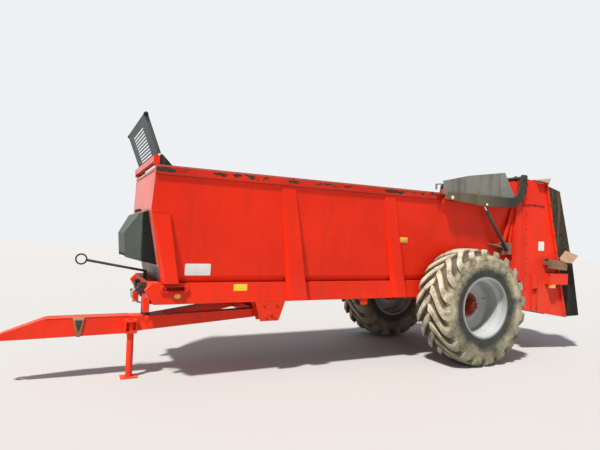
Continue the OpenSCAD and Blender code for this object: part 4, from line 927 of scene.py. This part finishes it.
white_plate = plate_finish("white_plate", (0.78, 0.77, 0.74), (0.42, 0.36, 0.30), rough=0.4)
yellow_sticker = plate_finish("yellow_sticker", (0.86, 0.62, 0.03), (0.60, 0.42, 0.06), rough=0.45)
amber_glass = plate_finish("amber_glass", (0.90, 0.42, 0.03), (0.45, 0.30, 0.12), rough=0.25, coat=0.5)
pin_yellow = plate_finish("pin_yellow", (0.72, 0.64, 0.40), (0.30, 0.24, 0.15), rough=0.45)
print("plate finishes ready")

# %% Plates on the body's side
sill_y, sill_z, wall_out, wall_up = 0.770, 1.420, 0.135, 1.285
lean = math.atan2(wall_out, wall_up)


def wall_at(z):
    """Distance of the body wall's outer face from the middle at a height: it grows evenly with height."""
    return sill_y + wall_out * (np.asarray(z, float) - sill_z) / wall_up


def on_wall(name, x, z, width, height, thick, material, side, slot):
    """A slab on the body's wall, with the middle of its foot at x and z."""
    shape = slab(rounded(width, height, min(width, height) * 0.12), thick,
                 spot([x, side * (wall_at(z) + 0.0004), z]), (-side, 0, 0),
                 (0, side * math.sin(lean), math.cos(lean)))
    return piece(name, *shape, material, "chassis", slot)


on_wall("type_plate", -4.565, 1.506, 0.345, 0.158, 0.002, white_plate, -1, "grey_sheet")
for side, word in both_sides:
    on_wall(f"{word}_reflector", -1.195, 2.000, 0.170, 0.092, 0.006, amber_glass, side, "lamp")
    sticker = side_slab(rounded(0.195, 0.092, 0.008), 0.0012, -3.96, 0.7804, 1.262, side)
    piece(f"{word}_beam_sticker", *sticker, yellow_sticker, "chassis", "grey_sheet")


# %% Plates on the flared side
flare = math.radians(9.5)


def on_flare(u, out, z, side):
    """A point on the housing's side plate: u metres behind its front edge, out metres off its inner face."""
    u, out, z = np.broadcast_arrays(np.asarray(u, float), out, z)
    return spot(np.stack([1.530 + u * math.cos(flare) - out * math.sin(flare),
                          side * (0.995 + u * math.sin(flare) + out * math.cos(flare)), z], axis=-1))


def flare_axes(side):
    """Directions on the side plate: along it towards the rear, and out of it."""
    return (np.array([math.cos(flare), side * math.sin(flare), 0.0]),
            np.array([-math.sin(flare), side * math.cos(flare), 0.0]))


def flare_slab(outline, thick, u, out, z, side):
    """A slab that lies on the side plate, facing out."""
    return slab(outline, thick, on_flare(u, out, z, side), flare_axes(side)[0] * -side, (0, 0, 1))


for side, word in both_sides:
    small = flare_slab(rounded(0.135, 0.175, 0.012), 0.0015, 0.378, 0.0064, 1.985, side)
    piece(f"{word}_side_plate_label", *small, white_plate, "chassis", "grey_sheet")

# %% [markdown]
# ### Frame round the slot in the beam
# A slot is cut in each long beam near its front, and a flat bar is bent round it as a guard, with an amber
# reflector hung under it. The guard is a rectangle carried round the slot's outline as a closed loop.


# %% The guard and its reflector
def ring_of(outline, centre, across, up, width, thick):
    """A flat bar carried round a closed outline: each corner of its section grows the outline by the
    section's width and lifts it by its thickness."""
    out = np.cross(across, up)
    reach = np.linalg.norm(outline, axis=1, keepdims=True)
    section = np.array([[0, 0], [0, 1], [0.25, 1.15], [0.75, 1.15], [1, 1], [1, 0]], float)
    grown = outline[None] * (1 + section[:, 0, None, None] * width / reach[None])
    points = (centre + grown[..., :1] * np.asarray(across, float) + grown[..., 1:] * np.asarray(up, float)
              + (section[:, 1] * thick)[:, None, None] * out)
    return points.reshape(-1, 3), quads_of(len(section), len(outline), wrap_rows=True)


for side, word in both_sides:
    guard = ring_of(rounded(0.30, 0.070, 0.030), spot([-4.862, side * 0.7803, 1.252]), (-side, 0, 0), (0, 0, 1),
                    0.035, 0.022)
    piece(f"{word}_slot_guard", *guard, red_frame, "chassis", "dark_paint")
    hung = side_slab(rounded(0.085, 0.060, 0.028), 0.012, -4.820, 0.7803, 1.160, side, 0.16)
    piece(f"{word}_beam_reflector", *hung, amber_glass, "chassis", "lamp")

# %% [markdown]
# ### Small brackets
# A tab hangs under each beam between the posts, a tapered lug stands on the drawbar's side where a
# chain hooks in, the headboard's window has cheeks and a lip, and the drive cover and the grille's bar
# have rubber caps. A pale sheet sits on top of each side plate, and a strip covers the joint of its flaps.

# %% Tabs and chain lugs
taper = np.array([[-0.075, 0.125], [-0.062, 0.130], [0.062, 0.130], [0.075, 0.125], [0.030, -0.118],
                  [0.020, -0.124], [-0.012, -0.124], [-0.022, -0.118]])
pocket = np.array([[-0.046, 0.088], [-0.040, 0.094], [0.040, 0.094], [0.046, 0.088], [0.010, -0.046],
                   [0.003, -0.052], [-0.003, -0.052], [-0.010, -0.046]])
for side, word in both_sides:
    tab = side_slab(rounded(0.130, 0.100, 0.016), 0.010, -1.888, 0.752, 1.006, side)
    piece(f"{word}_beam_tab", *tab, red_frame, "chassis", "red_paint")
    hook = side_slab(taper[::-1], 0.014, -5.945, 0.1105, 0.690, side)
    piece(f"{word}_chain_lug", *hook, tan_sheet, "chassis", "red_paint")
    # a thin black slab inside the lug's outline makes the middle of the lug dark
    dark_inlay = side_slab(pocket[::-1], 0.0015, -5.945, 0.1246, 0.690, side)
    piece(f"{word}_chain_lug_dark_inlay", *dark_inlay, black_steel, "chassis", "dark_paint")

# %% Cheeks and lip of the window
cheek = np.array([[-0.037, -0.060], [0.037, -0.060], [0.037, 0.055], [0.030, 0.061], [-0.030, 0.061],
                  [-0.037, 0.055]])
for side, word in both_sides:
    plate = side_slab(cheek, 0.031, -5.168, 0.8452, 2.8915, side, 0.03)
    piece(f"{word}_bar_cheek", *plate, red_frame, "chassis", "red_paint")
lip = slab(rounded(1.500, 0.032, 0.006), 0.012, spot([-5.1765, 0, 2.785]), (0, -1, 0), (0, 0, 1), 0.02)
piece("window_lip", *lip, pale_sheet, "chassis", "red_paint")

# %% The cover's cap and the knobs at the ends of the grille's bar
dome = [(0, 0), (0.046, 0), (0.046, 0.012), (0.042, 0.026), (0.030, 0.036), (0.014, 0.041), (0, 0.042)]
cap_shape = stamped(*turned(dome, 20), spot([-5.268, -0.17, 2.252]), (-0.35, 0, 1))
piece("cover_cap", *cap_shape, knob_black, "chassis", "black_metal")
grille_lean = math.radians(20.8)
grille_up = np.array([-math.sin(grille_lean), 0, math.cos(grille_lean)])
grille_back = np.array([math.cos(grille_lean), 0, math.sin(grille_lean)])
bar_middle = spot([-5.145, 0, 2.940]) + 0.545 * grille_up + 0.022 * grille_back
knob = [(0, -0.012), (0.026, -0.012), (0.031, -0.004), (0.031, 0.012), (0.024, 0.022), (0.010, 0.026),
        (0, 0.026)]
for side, word in both_sides:
    knob_shape = stamped(*turned(knob, 18), bar_middle + [0, side * 0.820, 0], (0, side, 0))
    piece(f"{word}_bar_knob", *knob_shape, knob_black, "chassis", "black_metal")

# %% The sheet on top of each side plate, and the strip over the joint of its flaps
corner = np.array([[-0.179, 0.018], [-0.150, -0.045], [0.060, -0.053], [0.121, -0.052], [0.187, 0.073]])
for side, word in both_sides:
    sheet = flare_slab(corner * [-side, 1], 0.004, 0.39, 0.0064, 3.22, side)
    piece(f"{word}_top_sheet", *sheet, pale_sheet, "chassis", "tan_paint")
    strip = flare_slab(rounded(0.345, 0.066, 0.006), 0.004, 0.940, 0.0020, 1.780, side)
    piece(f"{word}_flap_strip", *strip, black_steel, "chassis", "dark_paint")

# %% [markdown]
# ## Pins of the lift gear
# Each arm turns on a pin with a pale greased cap, and the cylinder's eye has one too, which rides with the
# arm. A grease nipple stands in the middle.

# %% Pin caps on the arms
cap = [(0, 0), (0.032, 0), (0.032, 0.006), (0.028, 0.010), (0.016, 0.011), (0.011, 0.016), (0.008, 0.022),
       (0.004, 0.024), (0, 0.024)]
eye = [(0, 0), (0.024, 0), (0.024, 0.005), (0.020, 0.009), (0.011, 0.010), (0.006, 0.018), (0, 0.018)]
for side, word in both_sides:
    caps = stamped(*turned(cap, 24), spot([-0.370, side * 1.0592, 2.745]), (0, side, 0))
    piece(f"{word}_pivot_cap", *caps, pin_yellow, "chassis", "black_metal")
    eyes = stamped(*turned(eye, 20), spot([0.447, side * 1.0552, 2.679]), (0, side, 0))
    piece(f"{word}_eye_cap", *eyes, pin_yellow, "arms", "black_metal")

# %% [markdown]
# ## Rows of bolts
# Where plates are bolted to the frame there is a row of heads, one mesh for each row. A row of many heads
# uses a plainer head, a flat washer and a hexagon, because nobody looks closer than that at a hundred of them.


# %% A plain head and rows of it
def plain_head(thread):
    """Washer and hexagon head standing on z = 0, with a slightly smaller top edge."""
    w, t = corner_of(thread), thread
    washer = turned([(0, 0), (w * 1.35, 0), (w * 1.3, t * 0.18), (0, t * 0.18)], 10)
    head = turned([(0, 0), (w, 0), (w, t * 0.72), (w * 0.86, t * 0.82), (0, t * 0.82)], 6)
    return together([washer, head])


def row(name, thread, places, axes, material=zinc_steel, body="chassis"):
    """Plain heads at places that are already in the model's own x."""
    return piece(name, *stamped(*plain_head(thread), places, axes), material, body, "black_metal", smooth=False)


for side, word in both_sides:
    along, out = flare_axes(side)
    front = on_flare(0.028, 0.0062, np.linspace(0.92, 3.14, 9), side)
    share = np.linspace(0.04, 0.97, 9)
    rib = on_flare(0.450 + 0.510 * share, 0.0462, 3.167 - 2.522 * share, side)
    row(f"{word}_side_plate_bolts", 0.014, np.concatenate([front, rib]), out, red_rear)
    flap = on_flare([0.80, 0.90, 1.00, 1.09], 0.0042, 1.762, side)
    row(f"{word}_flap_bolts", 0.012, flap, out)
    skirt = on_flare([0.445, 0.56, 0.68, 0.80, 0.855], 0.1562, [1.660, 1.650, 1.640, 1.630, 1.625], side)
    row(f"{word}_lamp_board_bolts", 0.010, skirt, out, brown_steel)
    box = on_flare([0.505, 0.865, 0.505, 0.865], 0.1462, [1.300, 1.300, 1.455, 1.455], side)
    row(f"{word}_lamp_box_screws", 0.008, box, out, brown_steel)
    cover = spot([[x, side * 0.6202, z] for x, z in ((-5.235, 2.15), (-5.235, 1.98), (-5.205, 1.80),
                                                     (-5.205, 1.68))])
    row(f"{word}_cover_bolts", 0.010, cover, (0, side, 0), cover_grey)
    hinge = spot([[x, side * 0.7802, z] for x, z in ((-3.60, 1.010), (-3.40, 1.010), (-3.56, 0.840),
                                                     (-3.44, 0.840))])
    row(f"{word}_hinge_bolts", 0.020, hinge, (0, side, 0), red_frame)
    pads = spot([[x, side * 0.7802, 1.040] for x in (-0.095, -0.035, 0.035, 0.095)])
    row(f"{word}_axle_pad_bolts", 0.018, pads, (0, side, 0))

# %% Bolts round the beaters' bearings
tilt = math.radians(8)
beater_axis = np.array([-math.sin(tilt), 0.0, math.cos(tilt)])
beater_fore = np.array([math.cos(tilt), 0.0, math.sin(tilt)])


def beater_foot(side):
    """Where a beater's shaft starts."""
    return spot([2.135, side * 0.5, 0.830])


def by_beater(a, b, c, side):
    """A point beside a beater: a rearward and b outward, square to its shaft, and c up along it. The shaft
    leans forward, so the three directions are turned by the tilt."""
    a, b, c = np.broadcast_arrays(np.asarray(a, float), b, c)
    return (beater_foot(side) + a[..., None] * beater_fore + b[..., None] * np.array([0.0, side, 0.0])
            + c[..., None] * beater_axis)


for side, word in both_sides:
    ring = np.arange(8) * math.tau / 8
    top = by_beater(0.052 * np.cos(ring), 0.052 * np.sin(ring), 2.330 + 0.1003, side)
    row(f"{word}_top_bearing_bolts", 0.010, top, beater_axis)
    low = by_beater(0.088 * np.cos(ring), 0.088 * np.sin(ring), -0.1052, side)
    row(f"{word}_gearbox_bolts", 0.012, low, -beater_axis)

# %% [markdown]
# ## Knives on the spirals
# The spiral's teeth are cut from its sheet. On a working machine a hard knife is bolted on each tooth, to be
# changed when it is blunt. A knife is a small slab with two bevelled corners that lies on the spiral's upper
# face, so its up direction is the spiral's own normal: the faster the spiral climbs, the more it leans.


# %% One knife for each tooth
steps_a_turn, step_rise, knife_r = 24, 0.0375, 0.405


def knives(side):
    """Places on the teeth: angle = number * 15 degrees and height = 0.1615 + number * 0.0375 for even
    numbers, on both starts of the spiral. The normal is up minus the climb times the turn's direction."""
    number = np.tile(np.arange(2, 56, 2), 2)
    a = number * math.tau / steps_a_turn + np.repeat([0.0, math.pi], len(number) // 2)
    c = 0.1615 + number * step_rise
    inward = np.array([0.0, -side, 0.0])
    radial = np.cos(a)[:, None] * beater_fore + np.sin(a)[:, None] * inward
    turning = -np.sin(a)[:, None] * beater_fore + np.cos(a)[:, None] * inward
    normal = beater_axis - steps_a_turn * step_rise / (math.tau * knife_r) * turning
    normal = normal / np.linalg.norm(normal, axis=1, keepdims=True)
    return beater_foot(side) + knife_r * radial + c[:, None] * beater_axis, radial, normal


knife = np.array([[-0.055, -0.030], [0.030, -0.030], [0.050, -0.006], [0.050, 0.006], [0.030, 0.030],
                  [-0.055, 0.030]])
for side, word in both_sides:
    place, radial, normal = knives(side)
    across = np.cross(normal, radial)
    grow = np.array([0.0, 0.90, 1.0, 1.0, 0.0])[:, None, None]
    lift = np.array([0.008, 0.008, 0.005, 0.0, 0.0])[:, None, None]
    flat = grow * knife[None]
    blades = (place[:, None, None] + flat[None, ..., :1] * radial[:, None, None]
              + flat[None, ..., 1:] * across[:, None, None] + lift[None] * normal[:, None, None])
    numbers = copies_of(quads_of(len(grow), len(knife)), len(place), len(grow) * len(knife))
    piece(f"{word}_knives", blades.reshape(-1, 3), numbers, floor_steel, f"{word}_beater", "worn_steel",
          smooth=False)
    heads = np.concatenate([place - 0.030 * radial + 0.008 * normal, place + 0.008 * radial + 0.008 * normal])
    row(f"{word}_knife_bolts", 0.012, heads, np.concatenate([normal, normal]), zinc_steel, f"{word}_beater")

# %% [markdown]
# ## Chains of the moving floor
# Four round link chains pull the slats. Between two slats the links lie flat and stand upright in turn. A link
# is a circle carried round a long oval: two half turns joined by two straights.


# %% One link, and all of them
def link(length=0.066, width=0.036, wire=0.0105, steps=14, sides=5):
    """Oval path: x = straight half length with the cosine's sign + r cos a, y = r sin a; a round section
    is carried round it."""
    a = (np.arange(steps) + 0.5) * math.tau / steps
    r = (width - wire) / 2
    half = (length - width) / 2
    path = np.stack([np.sign(np.cos(a)) * half + r * np.cos(a), r * np.sin(a)], axis=-1)
    out = np.stack([np.cos(a), np.sin(a)], axis=-1)
    b = np.arange(sides) * math.tau / sides
    flat = path[:, None] + (wire / 2 * np.cos(b))[None, :, None] * out[:, None]
    high = np.broadcast_to((wire / 2 * np.sin(b))[None, :, None], (steps, sides, 1))
    points = np.concatenate([flat, high], axis=-1)
    return points.reshape(-1, 3), quads_of(steps, sides, wrap_rows=True)


slat_x = np.arange(-4.850, 1.230, 0.420)
links_a_gap, link_gap, chain_z = 7, 0.0475, 1.3555
link_x = (slat_x[:-1, None] + 0.0975 + np.arange(links_a_gap)[None] * link_gap).reshape(-1)
chain_rows = np.array([-0.560, -0.1904, 0.1904, 0.560])
places = np.stack([np.tile(link_x, len(chain_rows)), np.repeat(chain_rows, len(link_x)),
                   np.full(len(chain_rows) * len(link_x), chain_z)], axis=-1)
shape, quads = link()
stands = np.tile(np.arange(links_a_gap) % 2 == 1, len(places) // links_a_gap)
links = np.where(stands[:, None, None], shape[None][..., [0, 2, 1]], shape[None]) + spot(places)[:, None]
piece("floor_chains", links.reshape(-1, 3), copies_of(quads, len(places), len(shape)), floor_steel, "chassis",
      "worn_steel")

# %% [markdown]
# ## Welds
# The posts are welded to the walls all the way up, and the drawbar's plates are welded along its edges. A weld
# is a small bead with ripples: a round profile carried along the joint, a little thicker every few millimetres.


# %% Beads along joints
def bead(ends, radius=0.004, step=0.012, up=(0.0, 1.0, 0.02)):
    """A round profile carried from one end to the other, its size times 1 + 0.16 * a sine, shrunk at both."""
    start, end = ends
    count = max(4, int(np.linalg.norm(end - start) / step))
    size = 1 + 0.16 * np.sin(np.arange(count) * 2.4)
    size[0] = size[-1] = 0.02
    return carried(start + np.linspace(0, 1, count)[:, None] * (end - start), circle(radius, 6), up, size)


post_lines = [(-5.190, -5.028, 2.215, 1.330), (-4.967, -4.805, 2.215, 1.330), (-3.450, -3.240, 2.704, 1.070),
              (-3.230, -2.930, 2.704, 1.070), (-1.670, -1.350, 2.704, 1.070), (-1.460, -1.100, 2.704, 1.070)]
drawbar_seams = [((-6.33, 0.815), (-5.30, 0.815)), ((-6.33, 0.575), (-5.30, 0.585))]
for side, word in both_sides:
    beads = []
    for top_x, foot_x, top_z, foot_z in post_lines:
        z = np.array([top_z - 0.004, 1.422])
        x = top_x + (foot_x - top_x) * (top_z - z) / (top_z - foot_z)
        beads.append(bead(spot(np.stack([x, side * (wall_at(z) + 0.001), z], axis=-1))))
    for seam in drawbar_seams:
        beads.append(bead(spot([[x, side * 0.1095, z] for x, z in seam]), 0.005))
    piece(f"{word}_welds", *together(beads), red_paint, "chassis", "red_paint")

# %% [markdown]
# ## Steel pipes
# The oil goes to the lift cylinders and to the floor's motor in steel pipes that are clipped to the frame.
# They are stiff, so they are a circle carried along a smooth path: a few corner points, rounded by an average
# that is taken again and again.


# %% Pipes and their clips
def smooth_path(corners, step, rounds):
    """Points every step along straight runs between corners, each then moved to the mean of its
    neighbours, again and again. The two ends stay."""
    lengths = np.linalg.norm(np.diff(corners, axis=0), axis=1)
    at = np.concatenate([[0], np.cumsum(lengths)])
    fine = np.linspace(0, at[-1], max(8, int(at[-1] / step)))
    path = np.stack([np.interp(fine, at, corners[:, k]) for k in range(3)], axis=-1)
    for _ in range(rounds):
        path[1:-1] = (path[:-2] + path[1:-1] * 2 + path[2:]) / 4
    return path


def pipe(corners, step, up=(0.3, 1.0, 0.2), rounds=12, radius=0.006):
    """A round section carried along a smooth path, closed at its ends."""
    path = smooth_path(corners, step, rounds)
    size = np.ones(len(path) + 2)
    size[0] = size[-1] = 0.01
    before, after = path[:1] - (path[1] - path[0]) * 0.02, path[-1:] + (path[-1] - path[-2]) * 0.02
    path = np.concatenate([before, path, after])
    return carried(path, circle(radius, 8), up, size)


pipe_ys = (-0.390, -0.340, -0.290, -0.240)
run = np.array([[-5.285, 1.220], [-5.335, 1.215], [-5.350, 1.150], [-5.310, 1.035], [-5.180, 1.018],
                [-5.000, 1.022], [-4.880, 1.110], [-4.760, 1.216], [1.010, 1.216]])
runs = [pipe(spot(np.insert(run, 1, y, axis=1)), 0.03) for y in pipe_ys]
piece("floor_pipes", *together(runs), zinc_steel, "chassis", "black_metal")
clips = [slab(rounded(0.230, 0.030, 0.006), 0.006, spot([x, -0.315, 1.2100]), (0, 1, 0), (-1, 0, 0))
         for x in (-4.260, -3.380, -2.260, -1.160, 0.440)]
piece("pipe_clips", *together(clips), black_steel, "chassis", "black_metal")

# %% The pipe on each side plate
for side, word in both_sides:
    before = spot([[1.300, side * 0.947, 2.620], [1.330, side * 0.952, 2.695], [1.400, side * 0.975, 2.728],
                   [1.475, side * 1.0025, 2.742]])
    along_plate = on_flare([0.04, 0.16, 0.30, 0.43], 0.0125, [2.754, 2.760, 2.750, 2.734], side)
    line = pipe(np.concatenate([before, along_plate]), 0.012, (0.1, 0.2, 1.0), 6)
    piece(f"{word}_side_pipe", *line, hub_red, "chassis", "black_metal")
    holds = [flare_slab(rounded(0.022, 0.034, 0.004), 0.014, u, 0.0062, z, side)
             for u, z in ((0.06, 2.753), (0.22, 2.753), (0.38, 2.741))]
    piece(f"{word}_side_pipe_clips", *together(holds), black_steel, "chassis", "black_metal")

# %% [markdown]
# ## Valves and sockets
# Two small turned things: the tyre's valve with its cap, and the socket beside the amber lamp.

# %% Tyre valves and lamp sockets
valve = [(0, 0), (0.009, 0), (0.009, 0.014), (0.005, 0.018), (0.005, 0.040), (0.007, 0.042), (0.007, 0.054),
         (0.005, 0.058), (0, 0.058)]
socket = [(0, 0), (0.030, 0), (0.030, 0.016), (0.024, 0.022), (0.024, 0.034), (0.018, 0.040), (0, 0.040)]
for side, word in both_sides:
    stem = stamped(*turned(valve, 12), [axle_x + 0.31, side * 1.107, axle_z + 0.10], (0.1, side, 0))
    piece(f"{word}_tyre_valve", *stem, black_steel, f"{word}_wheel", "black_metal")
    sock = stamped(*turned(socket, 16), on_flare(0.660, 0.075, 1.2350, side), flare_axes(side)[1])
    hanger = flare_slab(rounded(0.050, 0.075, 0.006), 0.004, 0.660, 0.0710, 1.2380, side)
    piece(f"{word}_lamp_socket", *together([sock, hanger]), black_steel, "chassis", "black_metal")

# %% [markdown]
# ## Stage and light
# A plain pale floor and a soft studio light. One large sun lamp with a wide disc stands where the real sun
# stood, behind the photographer's left shoulder, and the world fills the shadows. To the camera the world is
# a pale backdrop; its light on the machine is a separate, lower number, chosen so that a colour renders about
# as it is written.

# %% Floor
a = np.linspace(-60, 60, 13)
grid_x, grid_y = np.meshgrid(a, a, indexing="ij")
floor_points = np.stack([grid_x, grid_y, 0 * grid_x - 0.001], axis=-1).reshape(-1, 3)
floor_mesh = bpy.data.meshes.new("studio_floor")
floor_mesh.from_pydata(floor_points.tolist(), [], quads_of(13, 13, wrap_columns=False).tolist())
studio_floor = bpy.data.objects.new("studio_floor", floor_mesh)
bpy.context.scene.collection.objects.link(studio_floor)
floor_finish, tree = new_material("studio_floor")
cloud = add(tree, "ShaderNodeTexNoise", {"Scale": 0.7, "Detail": 5.0}).outputs[0]
tone = blend_of(tree, cloud, (0.47, 0.465, 0.45), (0.53, 0.525, 0.51))
finish(tree, add(tree, "ShaderNodeBsdfPrincipled", {"Base Color": tone, "Roughness": 0.9}))
floor_mesh.materials.append(floor_finish)
print("floor", len(floor_mesh.polygons), "faces")

# %% Sun and world
sun = bpy.data.lights.new("key", "SUN")
sun.energy = 5.0
sun.angle = math.radians(4)
sun.color = (1.0, 0.97, 0.93)
key = bpy.data.objects.new("key", sun)
towards = np.array([-0.46, -0.29, 0.84])
key.rotation_euler = Vector(towards.tolist()).to_track_quat("Z", "Y").to_euler()
bpy.context.scene.collection.objects.link(key)

world = bpy.data.worlds.new("studio")
bpy.context.scene.world = world
world.use_nodes = True
tree = world.node_tree
tree.nodes.clear()
rays = add(tree, "ShaderNodeLightPath")
seen = math_of(tree, "MAXIMUM", rays.outputs["Is Camera Ray"],
               math_of(tree, "MAXIMUM", rays.outputs["Is Glossy Ray"], rays.outputs["Is Transmission Ray"]))
fill = add(tree, "ShaderNodeBackground", {"Color": (0.86, 0.91, 1.0), "Strength": 0.41})
backdrop = add(tree, "ShaderNodeBackground", {"Color": (0.86, 0.88, 0.90), "Strength": 1.0})
both = add(tree, "ShaderNodeMixShader", {0: seen, 1: fill.outputs[0], 2: backdrop.outputs[0]})
add(tree, "ShaderNodeOutputWorld", {"Surface": both.outputs[0]})
bpy.context.scene.view_settings.view_transform = "Standard"
print("light ready")
